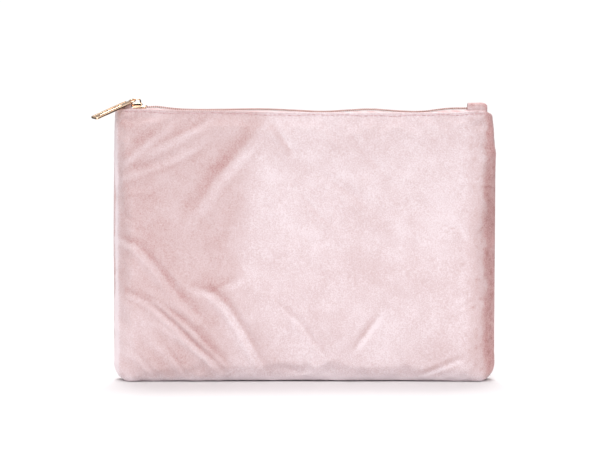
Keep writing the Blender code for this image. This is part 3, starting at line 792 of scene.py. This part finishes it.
def with_hem(points):
    """Adds the rounded fold over the top and the hem that goes down inside."""
    top = points[:, -1]
    inward = np.array([0.0, 1.0, 0.0])
    up = np.array([0.0, 0.0, 1.0])
    room = np.clip(-top[:, 1:2] - RIM, 0.3 * MM, 2 * FOLD_RADIUS) / 2
    edge = np.clip(1 - (WIDTH / 2 - np.abs(top[:, :1])) / HEM_CORNER, 0, 1)
    clear = -np.sign(top[:, :1]) * edge * HEM_CLEARANCE * np.array([1.0, 0.0, 0.0])
    extra = []
    for step in range(1, FOLD_STEPS + 1):
        angle = math.pi * step / FOLD_STEPS
        turn = room * (inward * (1 - math.cos(angle)) + up * math.sin(angle))
        extra.append(top + turn + clear * step / FOLD_STEPS)
    for row in range(points.shape[1] - 2, 0, -1):
        if points[points.shape[0] // 2, row, 2] < HEIGHT - FOLD_RADIUS - HEM_LENGTH:
            break
        extra.append(points[:, row] + inward * 2 * room + clear)
    return np.concatenate([points, np.stack(extra, axis=1)], axis=1)


def inner_layer(points, rows, depth_at):
    """A layer inside a panel, on every second grid line, at a depth that may change with the height.

    It is flatter than the panel's creases and clear of their valleys, and drawn in at the corners.
    """
    sunk = points.copy()
    for axis in (0, 1, 0, 1):
        for shift in (-1, 1):
            beside_it = np.roll(sunk[..., 1], shift, axis) - CREASE_SPREAD
            sunk[..., 1] = np.maximum(sunk[..., 1], beside_it)
    sunk[..., 1] = np.minimum(sunk[..., 1], points[..., 1] + CREASE_CLEARANCE)
    depth = depth_at(points[:, :rows, 2])[..., None]
    inside = sunk[:, :rows] - grid_normals(points)[:, :rows] * depth
    inside[..., 1] = np.minimum(inside[..., 1], -RIM)
    to_side = smoothstep((np.abs(inside[..., 0]) - INNER_CORNER_X) / INNER_CORNER_RUN)
    corner = to_side * smoothstep((INNER_CORNER_Z - inside[..., 2]) / INNER_CORNER_RUN)
    inside[..., 0] -= np.copysign(INNER_CORNER_PULL * corner, inside[..., 0])
    inside[..., 2] += INNER_CORNER_PULL * corner
    picked = sorted(set(range(0, rows, 2)) | {rows - 1})
    return inside[::2, picked]


def wadding_depth(z):
    return np.full_like(z, INTERLINING_DEPTH)


def lining_depth(z):
    share = np.clip((z - INTERLINING_TOP) / (TAPE_BOTTOM - INTERLINING_TOP), 0, 1)
    return LINING_DEPTH + (LINING_DEPTH_TOP - LINING_DEPTH) * share


def fabric(side, name, points, material):
    """A grid drawn for the front, as an object on the front or mirrored on the back."""
    back = side == "back"
    placed = points * np.array([1.0, -1.0, 1.0]) if back else points
    return grid_object(f"{side}_{name}", placed, material, back)


def front_tone_and_painted_light(points):
    """Painted light and shade over the front, on a mottled tone: painted shade over the left part and most
    at the right side, painted light along the left edge and the bottom.
    """
    x, z = points[..., 0], points[..., 2]
    # Painted shade: darker over the left part, up to a wavy edge that leans right higher up.
    edge = -50 * MM + 24 * MM * np.clip((z - 60 * MM) / (100 * MM), 0, 1) + 7 * MM * wavy(points, 22, 3)
    tone_and_painted_light = 0.86 - 0.28 * smoothstep((edge - x) / (22 * MM) + 0.5)
    tone_and_painted_light += 0.10 * wavy(points, 34, 5) + 0.06 * wavy(points, 110, 6)
    # Painted highlight: a bright band along the left edge.
    tone_and_painted_light += 0.75 * bell(x + 119.5 * MM, 2.2 * MM)
    # Painted light: lighter along the bottom, where the panel turns under.
    tone_and_painted_light += 0.40 * bell(z, 4.0 * MM)
    # Painted shade: darker towards the right side, most in its last few millimetres, with a ragged edge.
    ragged = x + 2.2 * MM * wavy(points, 160, 8) + 1.6 * MM * wavy(points, 60, 2)
    tone_and_painted_light -= 0.20 * smoothstep((ragged - 98 * MM) / (10 * MM))
    tone_and_painted_light -= 0.42 * smoothstep((ragged - 110 * MM) / (5 * MM))
    flecks = smoothstep((wavy(points, 330, 12) - 0.25) / 0.3) * smoothstep((x - 84 * MM) / (25 * MM))
    tone_and_painted_light -= 0.20 * flecks
    # Painted shade: a dark line down the left seam.
    tone_and_painted_light[:2] -= 0.7
    return tone_and_painted_light + crease_tone_and_painted_light(points, FRONT_CREASES, FRONT_SEED, 0.18)


def back_tone_and_painted_light(points):
    """Painted light and shade over the back, on a mottled tone: painted shade at both sides."""
    x = points[..., 0]
    tone_and_painted_light = 0.80 + 0.12 * wavy(points, 30, 31) + 0.06 * wavy(points, 110, 32)
    # Painted shade: darker towards both sides, with a ragged edge.
    ragged = np.abs(x) + 2.2 * MM * wavy(points, 160, 8)
    tone_and_painted_light -= 0.5 * smoothstep((ragged - 111 * MM) / (6 * MM))
    return tone_and_painted_light + crease_tone_and_painted_light(points, BACK_CREASES, BACK_SEED, 0.16)


def crease_tone_and_painted_light(points, creases, seed, wrinkle_share):
    """Painted light and shade from the creases and wrinkles: shade in valleys, light on ridges and small
    wrinkles, shade on one side of each fold, and light where a slope faces up and towards -X.
    """
    x, z = points[..., 0], points[..., 2]
    height = crease_heights(x, z, creases) / MM
    # Painted shade in the valleys, painted light on the ridges, and painted shade and highlight beside the
    # folds.
    tone_and_painted_light = 0.05 * np.clip(height, -1.2, 1.2) + crease_shades(x, z, creases)
    # Painted highlight on the small wrinkles' ridges.
    tone_and_painted_light += wrinkle_share * (small_wrinkles(points, seed) - 0.15)
    # Painted light where a slope faces up and towards -X, painted shade where it faces away.
    shine = 2.0 * (np.gradient(height, axis=0) - np.gradient(height, axis=1))
    return tone_and_painted_light + 0.13 * np.clip(shine, -1, 1)


def write_tone_and_painted_light(obj, values):
    attribute = obj.data.attributes.new("tone_and_painted_light", "FLOAT", "POINT")
    attribute.data.foreach_set("value", np.asarray(values, np.float32).ravel())


# ---------------- pieces of fabric


def bends_with_lip(obj):
    """Bakes the piece's placement into its mesh."""
    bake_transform(obj)


def place_piece(obj, nodes, body="root"):
    """Hides the CAD nodes that the piece stands for and parents it to the body that it follows; a back-lip
    piece is only baked in place.
    """
    if nodes:
        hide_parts(*nodes)
    if body == "back_lip":
        bends_with_lip(obj)
    else:
        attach(obj, body)


def velvet_piece(side, points, tone_and_painted_light, material):
    """A velvet panel with its hem. The hem gets the painted light and tone of the panel's top row."""
    full = with_hem(points)
    extra = full.shape[1] - points.shape[1]
    obj = fabric(side, "velvet", full, material)
    write_tone_and_painted_light(obj, np.concatenate([tone_and_painted_light, np.repeat(tone_and_painted_light[:, -1:], extra, axis=1)], axis=1))
    add_subdivision(obj)
    add_thickness(obj, VELVET)
    return obj


def row_count_below(points, height):
    """How many rows of a panel lie below a height."""
    middle = points[points.shape[0] // 2, :, 2]
    return int(np.sum(middle <= height))


def build_panel(points, tone_and_painted_light, materials, side):
    """Velvet, interlining and lining of the front or the back."""
    body = body_of(side)

    def nodes(layer):
        return [f"{side}_{layer}"] + [f"{side}_{layer}_mouth"] * (side == "back")

    velvet = velvet_piece(side, points, tone_and_painted_light, materials["velvet"])
    place_piece(velvet, nodes("outer_panel"), body)

    layer = inner_layer(points, row_count_below(points, INTERLINING_TOP), wadding_depth)
    wadding = fabric(side, "wadding", layer, materials["wadding"])
    add_thickness(wadding, INTERLINING)
    place_piece(wadding, nodes("interlining"), body)

    layer = inner_layer(points, row_count_below(points, LINING_TOP), lining_depth)
    lining = fabric(side, "lining_cloth", layer, materials["lining"])
    add_subdivision(lining)
    add_thickness(lining, LINING)
    place_piece(lining, nodes("lining"), body)
    return velvet


def add_seam(base, materials):
    """The sewn allowance between the panels, a flat strip round the sides and bottom."""
    rows = np.flatnonzero((base[0, :, 2] < SEAM_TOP) & (base[0, :, 2] > SEAM_CORNER_Z))
    outline = np.concatenate([base[0, rows[::-1]], base[4:-4, 0], base[-1, rows]])[:, (0, 2)]
    along = np.gradient(outline, axis=0)
    along /= np.linalg.norm(along, axis=1)[:, None]
    inward = np.stack([-along[:, 1], along[:, 0]], axis=1)
    corner = bell(outline[:, 1] - SEAM_CORNER_RUN, SEAM_CORNER_RUN) * (np.abs(outline[:, 0]) > SEAM_CORNER_X)
    inset = (SEAM_INSET + SEAM_CORNER_INSET * corner)[:, None]
    half = SEAM / 2
    rings = []
    for (ax, az), (bx, bz) in zip(outline + inward * inset, outline + inward * SEAM_WIDTH):
        rings.append([(ax, -half, az), (ax, half, az), (bx, half, bz), (bx, -half, bz)])
    vertices, faces = lofted(rings)
    obj = new_object("side_seam", vertices, faces, materials["velvet"])
    set_sharp(obj)
    # Painted shade: the seam strip gets a darker tone than the panels.
    write_tone_and_painted_light(obj, np.full(len(obj.data.vertices), 0.35))
    place_piece(obj, ["perimeter_seam"])


def surface_y(tree, x, z, back):
    """Where the velvet's outer face is at a place, or None beside it."""
    start = Vector((x, 0.1 if back else -0.1, z))
    hit, _, _, _ = tree.ray_cast(start, Vector((0, -1 if back else 1, 0)))
    return hit.y if hit else None


def add_topstitching(velvet, materials, side):
    """A line of single stitches just under the fold, each sunk at its ends."""
    back = side == "back"
    bpy.context.view_layer.update()
    tree = BVHTree.FromObject(velvet, bpy.context.evaluated_depsgraph_get())
    paths = []
    x = -STITCH_END_X
    while x < STITCH_END_X:
        path = []
        for step in range(STITCH_STEPS + 1):
            share = step / STITCH_STEPS
            place = x + STITCH_LENGTH * share
            wander = 0.30 * MM * math.sin(place * 95) + 0.22 * MM * math.sin(place * 310)
            z = HEIGHT + float(line_height(FOLD_LINE, place)) - STITCH_DROP + wander
            y = surface_y(tree, place, z, back)
            if y is None:
                break
            proud = THREAD * (0.75 * math.sin(math.pi * share) - 0.45)
            path.append((place, y + proud if back else y - proud, z))
        if len(path) == STITCH_STEPS + 1:
            paths.append(path)
        x += STITCH_LENGTH + STITCH_GAP
    tubes = [tube_parts(path, THREAD / 2, 7) for path in paths]
    obj = joined(f"{side}_stitches", tubes, materials["thread"])
    place_piece(obj, [f"{side}_topstitching"], body_of(side))


def zip_rise(x):
    """How far the zip stands over the CAD's at a place along it."""
    return float(line_height(ZIP_LINE, x))


def tape_section(x):
    """The front tape across its width at x: up inside the velvet's hem, then in towards the coil."""
    rise = zip_rise(x)
    section = [(swelling(x, z) - TAPE_DEPTH - TAPE / 2, z + rise) for z in TAPE_LEG]
    section += [(depth * MM, TAPE_Z + height * MM + rise * share) for depth, height, share in TAPE_BEND]
    return [(x, -depth, z) for depth, z in section]


def add_tape(materials, side):
    """Half of the zip's tape, between the velvet and the coil."""
    points = np.array([tape_section(x) for x in np.linspace(-TAPE_END_X, TAPE_END_X, 120)])
    obj = fabric(side, "tape", points, materials["tape"])
    add_thickness(obj, TAPE, 0.0)
    place_piece(obj, [f"{side}_zip_tape"], body_of(side))


def add_coil(materials, side):
    """Half of the coil: a flattened helix whose heads reach past the middle, sewn on with two threads."""
    back = side == "back"
    sign = 1 if back else -1
    start = COIL_START_X + (COIL_PITCH / 2 if back else 0)
    turns = int((COIL_END_X - start) / COIL_PITCH)
    path = []
    for step in range(turns * COIL_POINTS + 1):
        angle = 2 * math.pi * step / COIL_POINTS
        x = start + COIL_PITCH * step / COIL_POINTS
        y = sign * (1.0 - 1.25 * signed_power(math.cos(angle), 0.7)) * MM
        above = COIL_HALF_HEIGHT * signed_power(math.sin(angle), 0.8)
        path.append((x, y, COIL_Z + zip_rise(x) + above))
    vertices, faces = tube_parts(path, COIL_WIRE, 7)
    obj = new_object(f"{side}_coil", vertices, faces, materials["nylon"])
    place_piece(obj, [f"{side}_zip_coil"], body_of(side))
    threads = []
    for offset in COIL_THREAD_PLACES:
        thread = []
        for step in range(turns * 4 + 1):
            x = start + COIL_PITCH * step / 4
            bob = COIL_THREAD_BOB * math.cos(math.pi * step / 2)
            thread.append((x, sign * offset, COIL_Z + zip_rise(x) + COIL_THREAD_RISE + bob))
        threads.append(tube_parts(thread, COIL_THREAD, 5))
    sewing = joined(f"{side}_coil_thread", threads, materials["thread"])
    place_piece(sewing, [], body_of(side))


def rounded_block(low, high, power, rings=7, count=20):
    """A soft-cornered block between two corners, squarer the higher the power, as vertices and faces."""
    middle = (Vector(low) + Vector(high)) / 2
    half = (Vector(high) - Vector(low)) / 2
    exponent = 2 / power
    made = []
    for ring in range(rings + 1):
        lean = -math.pi / 2 + math.pi * (0.04 + 0.92 * ring / rings)
        share = abs(math.cos(lean)) ** exponent
        z = middle.z + half.z * signed_power(math.sin(lean), exponent)
        points = []
        for step in range(count):
            angle = -2 * math.pi * step / count
            x = half.x * signed_power(math.cos(angle), exponent)
            y = half.y * signed_power(math.sin(angle), exponent)
            points.append((middle.x + x * share, middle.y + y * share, z))
        made.append(points)
    return lofted(made)


def add_stops(materials):
    """The moulded stops at both ends of the coil."""
    for name in ("top_stop_front", "top_stop_back", "bottom_stop"):
        low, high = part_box(name)
        vertices, faces = rounded_block(low, high, 4.0)
        obj = new_object(name + "_moulding", vertices, faces, materials["nylon"])
        place_piece(obj, [name])


def arch_section(count, half, height, across_power, up_power):
    """Points (across, up, share of the height) of a square-shouldered arch, from one foot to the other."""
    angles = [math.pi * step / count for step in range(count + 1)]
    rises = [abs(math.sin(angle)) ** up_power for angle in angles]
    return [(half * signed_power(math.cos(a), across_power), height * r, r) for a, r in zip(angles, rises)]


def add_end_tab(materials):
    """A strip of velvet folded over the open end of the zip, round at its outer end."""
    low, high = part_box("zip_end_tab")
    left = low.x - 1.2 * MM
    right = high.x - 2.2 * MM
    columns = rows = 26
    points = np.zeros((columns + len(TAB_CLOSING), rows + 1, 3))
    for column in range(columns):
        share = math.sin(math.pi / 2 * column / (columns - 1)) ** 0.9
        x = left + (right - left) * share
        inset = max(0.0, (x - (right - TAB_ARC)) / TAB_ARC)
        width = TAB_HALF * (1 - 0.35 * inset**2.5)
        height = TAB_TOP - 1.6 * MM * inset**3 - TAB_FOOT
        for row, (y, up, rise) in enumerate(arch_section(rows, width, height, 0.45, 0.45)):
            points[column, row] = (x + TAB_LEAN * rise * (1 - share), y, TAB_FOOT + up)
    for step, narrower in enumerate(TAB_CLOSING):
        points[columns + step] = points[columns - 1] * (1, narrower, narrower)
        points[columns + step, :, 2] += TAB_FOOT * (1 - narrower)
        points[columns + step, :, 0] += 0.1 * MM
    bumpy = wavy(points, 300, 17)
    points[..., 2] += 0.14 * MM * bumpy
    points[..., 1] += 0.10 * MM * wavy(points, 400, 19)
    obj = grid_object("end_tab_velvet", points, materials["velvet"], True)
    # Painted shade: darker towards the tab's top and its right end; painted light and shade follow its
    # bumps.
    shade = smoothstep((points[..., 2] - 171.5 * MM) / (2.5 * MM))
    shade += smoothstep((points[..., 0] - 110 * MM) / (4 * MM))
    write_tone_and_painted_light(obj, 0.62 + 0.12 * bumpy - 0.22 * shade)
    add_subdivision(obj)
    add_thickness(obj, 0.9 * MM)
    place_piece(obj, ["zip_end_tab"])


def add_left_end(materials):
    """The tape's turned-in end beyond the slider: a small lumpy slope down to the corner."""
    low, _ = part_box("folded_tape_end")
    start = low.x - 0.3 * MM
    columns, rows = 22, 18
    points = np.zeros((columns, rows + 1, 3))
    for column in range(columns):
        share = column / (columns - 1)
        x = start + (TURNED_END_X - start) * share
        height = (1.3 + 3.9 * math.sin(math.pi / 2 * share) ** 1.3) * MM
        half = (2.5 + 1.2 * math.sin(math.pi * (0.25 + 0.6 * share))) * MM
        for row, (y, up, _) in enumerate(arch_section(rows, half, height, 0.6, 0.5)):
            points[column, row] = (x, y, TURNED_END_FOOT + up)
    points[..., 2] += 0.35 * MM * wavy(points, 420, 23)
    points[..., 1] += 0.25 * MM * wavy(points, 380, 29)
    obj = grid_object("turned_tape_end", points, materials["tape"], True)
    add_subdivision(obj)
    add_thickness(obj, 0.5 * MM)
    place_piece(obj, ["folded_tape_end"])


# ---------------- slider and puller


def slider_half(x):
    """Half the slider's width at a place along it: wide shoulders, then narrower towards the open zip."""
    return SLIDER_HALF * (1 - 0.24 * float(smoothstep((x - SLIDER_X + 2 * MM) / (6 * MM))))


def slider_ring(inset, z, count=48):
    """One outline of a slider plate."""
    left = SLIDER_X - 5.2 * MM + inset
    right = SLIDER_X + 4.6 * MM - inset
    ring = []
    for step in range(count):
        angle = -2 * math.pi * step / count
        x = (left + right) / 2 + (right - left) / 2 * signed_power(math.cos(angle), 0.5)
        y = (slider_half(x) - inset) * signed_power(math.sin(angle), 0.5)
        ring.append((x, y, z))
    return ring


def plate(levels):
    """A slider plate through outlines given as (inset, height) in mm."""
    return lofted([slider_ring(inset * MM, z * MM) for inset, z in levels])


def flange(side, low, high):
    """A curled edge along one side of a slider plate, between two heights in mm."""
    rings = []
    for step in range(15):
        x = SLIDER_X + (-4.1 + 7.9 * step / 14) * MM
        outer = FLANGE_SHARE * slider_half(x)
        inner = outer - 0.8 * MM
        profile = [
            (inner, low + 0.15), (inner + 0.15 * MM, low), (outer - 0.2 * MM, low), (outer, low + 0.25),
            (outer, high - 0.25), (outer - 0.2 * MM, high), (inner, high),
        ]
        ring = [(x, side * y, z * MM) for y, z in profile]
        rings.append(ring if side > 0 else ring[::-1])
    return lofted(rings)


def slider_post():
    """The thin wedge that parts the coils, between the slider's plates."""
    x = SLIDER_X - 3.0 * MM
    reach, half = 1.4 * MM, 0.9 * MM
    corners = ((x - reach, 0), (x, half), (x + reach, 0), (x, -half))
    return lofted([[(*corner, z * MM) for corner in corners] for z in (169.6, 172.6)])


def slider_rail(side):
    """A low rail beside the arch, on top of the slider."""
    near, far = (2.55 * MM, 3.45 * MM) if side > 0 else (-3.45 * MM, -2.55 * MM)
    return rounded_block((-107.3 * MM, near, 173.1 * MM), (-102.3 * MM, far, 174.9 * MM), 5.0)


def add_slider(materials):
    """Two plates with curled edges, joined by a post, with two rails on top."""
    lower = ((0.5, 168.9), (0.15, 168.95), (0.0, 169.15), (0.0, 169.45), (0.2, 169.65), (0.6, 169.7))
    upper = (
        (0.6, 172.5), (0.1, 172.5), (0.0, 172.75), (0.0, 173.05), (0.25, 173.27), (0.9, 173.3),
        (1.25, 173.22), (1.6, 173.4), (2.1, 173.45),
    )
    solids = [plate(lower), plate(upper)]
    solids += [flange(side, 170.95, 172.7) for side in (1, -1)]
    solids += [slider_rail(side) for side in (1, -1)]
    solids.append(slider_post())
    obj = joined("slider_plates", solids, materials["gold"])
    set_sharp(obj, 40)
    place_piece(obj, ["slider_body"], "slider")


def add_arch(materials):
    """The wire arch over the slider, with a lug round each foot."""
    leg = (173.2, 173.9, 174.6, 175.2)
    path = [(BAIL_X - BAIL_RADIUS, 0, z * MM) for z in leg]
    for step in range(25):
        angle = math.pi * (1 - step / 24)
        across = BAIL_RADIUS * signed_power(math.cos(angle), 0.8)
        path.append((BAIL_X + across, 0, BAIL_CENTRE_Z + BAIL_RISE * abs(math.sin(angle)) ** 0.8))
    path += [(BAIL_X + BAIL_RADIUS, 0, z * MM) for z in reversed(leg)]
    solids = [tube_parts(path, BAIL_WIRE, 14)]
    for x, reach in ((BAIL_X - BAIL_RADIUS, 0.85 + 0.2), (BAIL_X + BAIL_RADIUS, 0.85 + 0.5)):
        low = (x - 0.85 * MM, -0.95 * MM, 173.2 * MM)
        high = (x + reach * MM, 0.95 * MM, 174.3 * MM)
        solids.append(rounded_block(low, high, 4.0))
    bail = joined("slider_arch", solids, materials["gold"])
    set_sharp(bail, 50)
    place_piece(bail, ["slider_bail"], "slider")


def bar_ring(inset, z, start, end, half_width, corner, steps=5):
    """A rectangle with round corners, flat in the puller's own plane, inset by a distance."""
    low, high = start + inset, end - inset
    half = half_width - inset
    corner = max(corner - inset, 0.15 * MM)
    ring = []
    corners = ((high, half, 0.0), (low, half, 0.5), (low, -half, 1.0), (high, -half, 1.5))
    for x, y, turn in corners:
        centre_x = x - math.copysign(corner, 1 if x == high else -1)
        centre_y = y - math.copysign(corner, y)
        for step in range(steps + 1):
            angle = math.pi * (turn + 0.5 * step / steps)
            ring.append((centre_x + corner * math.cos(angle), centre_y + corner * math.sin(angle), z))
    return ring[::-1]


def eye_solid():
    """A flat ring with rounded edges, as vertices and faces."""
    profile = [
        (EYE_HOLE, -0.25), (EYE_HOLE + 0.2 * MM, -0.45), (EYE_RING - 0.2 * MM, -0.45), (EYE_RING, -0.25),
        (EYE_RING, 0.25), (EYE_RING - 0.2 * MM, 0.45), (EYE_HOLE + 0.2 * MM, 0.45), (EYE_HOLE, 0.25),
    ]
    count = 40
    vertices = []
    for step in range(count):
        angle = 2 * math.pi * step / count
        vertices += [(r * math.cos(angle), r * math.sin(angle), z * MM) for r, z in profile]
    whole = len(vertices)
    faces = grid_faces(count + 1, len(profile), False, True)
    return vertices, [[index % whole for index in face] for face in faces]


def add_puller(materials):
    """A flat bar with a shallow recess on both faces, a raised strip in one, and an eye round the arch."""

    def bar_solid(levels, *shape):
        return lofted([bar_ring(inset * MM, z * MM, *shape) for inset, z in levels])

    face = ((0.42, 0.75), (1.1, 0.72), (1.35, 0.55))
    under = tuple((inset, -z) for inset, z in reversed(face))
    levels = under + ((0.0, -0.42), (0.0, 0.42)) + face
    bar = bar_solid(levels, BAR_START, BAR_END, BAR_HALF_WIDTH, 0.9 * MM)
    levels = ((0.2, -0.45), (0.0, -0.3), (0.0, 0.3), (0.2, 0.45))
    neck = bar_solid(levels, 1.75 * MM, BAR_START + 1.2 * MM, 1.5 * MM, 0.3 * MM)
    levels = ((0.12, 0.5), (0.0, 0.62), (0.15, 0.68), (0.3, 0.68))
    strip = bar_solid(levels, 8.5 * MM, 26.5 * MM, 1.0 * MM, 0.9 * MM)
    eye_place = Vector((math.cos(EYE_ANGLE), 0, math.sin(EYE_ANGLE))) * BAIL_RADIUS
    place = Matrix.Translation(Vector((BAIL_X, 0, BAIL_CENTRE_Z)) + eye_place)
    place @= Matrix.Rotation(math.pi + PULLER_YAW, 4, "Z") @ Matrix.Rotation(PULLER_PITCH, 4, "Y")
    place @= Matrix.Rotation(PULLER_ROLL, 4, "X")
    obj = joined("puller_bar", [eye_solid(), neck, bar, strip], materials["gold"], place)
    set_sharp(obj, 25)
    place_piece(obj, ["puller"], "puller")


# ---------------- studio


def add_camera():
    """A long lens in front of the pouch, looking slightly down."""
    data = bpy.data.cameras.new("camera")
    data.lens = FOCAL_LENGTH
    data.sensor_width = SENSOR_WIDTH
    data.clip_start = 0.05
    data.clip_end = 50
    camera = bpy.data.objects.new("camera", data)
    direction = Vector((0, -math.cos(ELEVATION), math.sin(ELEVATION)))
    camera.location = AIM + direction * DISTANCE
    camera.rotation_euler = (-direction).to_track_quat("-Z", "Y").to_euler()
    bpy.context.scene.collection.objects.link(camera)
    bpy.context.scene.camera = camera


def add_sun(name, direction, strength, softness):
    data = bpy.data.lights.new(name, "SUN")
    data.energy = strength
    data.angle = softness
    light = bpy.data.objects.new(name, data)
    light.rotation_euler = Vector(direction).to_track_quat("-Z", "Y").to_euler()
    bpy.context.scene.collection.objects.link(light)


def background(n, strength):
    """A near-white background of a fixed or linked strength."""
    node = n.add("Background", Color=(1, 0.99, 0.99, 1))
    feed(n.tree, node.inputs["Strength"], strength)
    return node.outputs["Background"]


def between(n, value, low, high, low_strength, high_strength):
    """A strength that goes from one level to another as the value goes from low to high."""
    limits = {"From Min": low, "From Max": high, "To Min": low_strength, "To Max": high_strength}
    span = n.add("MapRange", **limits)
    n.link(value, span.inputs["Value"])
    return span.outputs["Result"]


def either(n, choice, otherwise, chosen):
    """One background for the rays of a kind, and another for the rest."""
    mix = n.add("MixShader")
    for socket, output in zip(mix.inputs, (choice, otherwise, chosen)):
        n.link(output, socket)
    return mix.outputs["Shader"]


def add_world():
    """A soft surround, brighter behind; plain white to look at; and a dark front for shine on metal."""
    n = Nodes("studio", "worlds")
    bpy.context.scene.world = n.owner
    n.tree.nodes.clear()
    parts = n.add("SeparateXYZ")
    rays = n.add("LightPath")
    n.link(n.add("TexCoord").outputs["Generated"], parts.inputs["Vector"])
    soft = background(n, between(n, parts.outputs["Y"], -1, 1, 0.40, 0.66))
    shine = background(n, between(n, parts.outputs["Z"], 0.35, 0.9, 0.04, 1.1))
    lit = either(n, rays.outputs["Is Glossy Ray"], soft, shine)
    seen = either(n, rays.outputs["Is Camera Ray"], lit, background(n, 1.05))
    n.link(seen, n.add("OutputWorld").inputs["Surface"])


def add_floor(material):
    """A board just under the pouch."""
    half_x, half_y = 0.36, 0.8
    corners = [(-half_x, -half_y, 0), (half_x, -half_y, 0), (half_x, half_y, 0), (-half_x, half_y, 0)]
    floor = new_object("floor", corners, [(0, 1, 2, 3)], material)
    floor.location.z = -0.02 * MM


def add_studio(floor):
    add_world()
    add_floor(floor)
    add_sun("soft_key", (0.05, 0.62, -0.78), 2.0, math.radians(50))
    add_sun("back_light", (0.0, -0.35, -0.94), 2.0, math.radians(25))
    bpy.context.scene.view_settings.view_transform = "Standard"


# ---------------- the pouch


def main():
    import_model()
    materials = {
        "velvet": velvet_material(),
        "lining": woven_material("pink_lining", (0.66, 0.44, 0.44), (0.84, 0.62, 0.62), 0.35 * MM, 0.5, 0.2),
        "wadding": wadding_material(),
        "tape": tape_material(),
        "nylon": nylon_material(),
        "thread": thread_material(),
        "gold": gold_material(),
    }
    add_camera()
    add_studio(floor_material())
    base = panel_base()
    front = shaped_panel(base, FRONT_CREASES, FRONT_SEED)
    back = shaped_panel(base, BACK_CREASES, BACK_SEED)
    front_velvet = build_panel(front, front_tone_and_painted_light(front), materials, "front")
    back_velvet = build_panel(back, back_tone_and_painted_light(back), materials, "back")
    add_seam(base, materials)
    for side, velvet in (("front", front_velvet), ("back", back_velvet)):
        add_topstitching(velvet, materials, side)
        add_tape(materials, side)
        add_coil(materials, side)
    add_stops(materials)
    add_end_tab(materials)
    add_left_end(materials)
    add_slider(materials)
    add_arch(materials)
    add_puller(materials)


main()
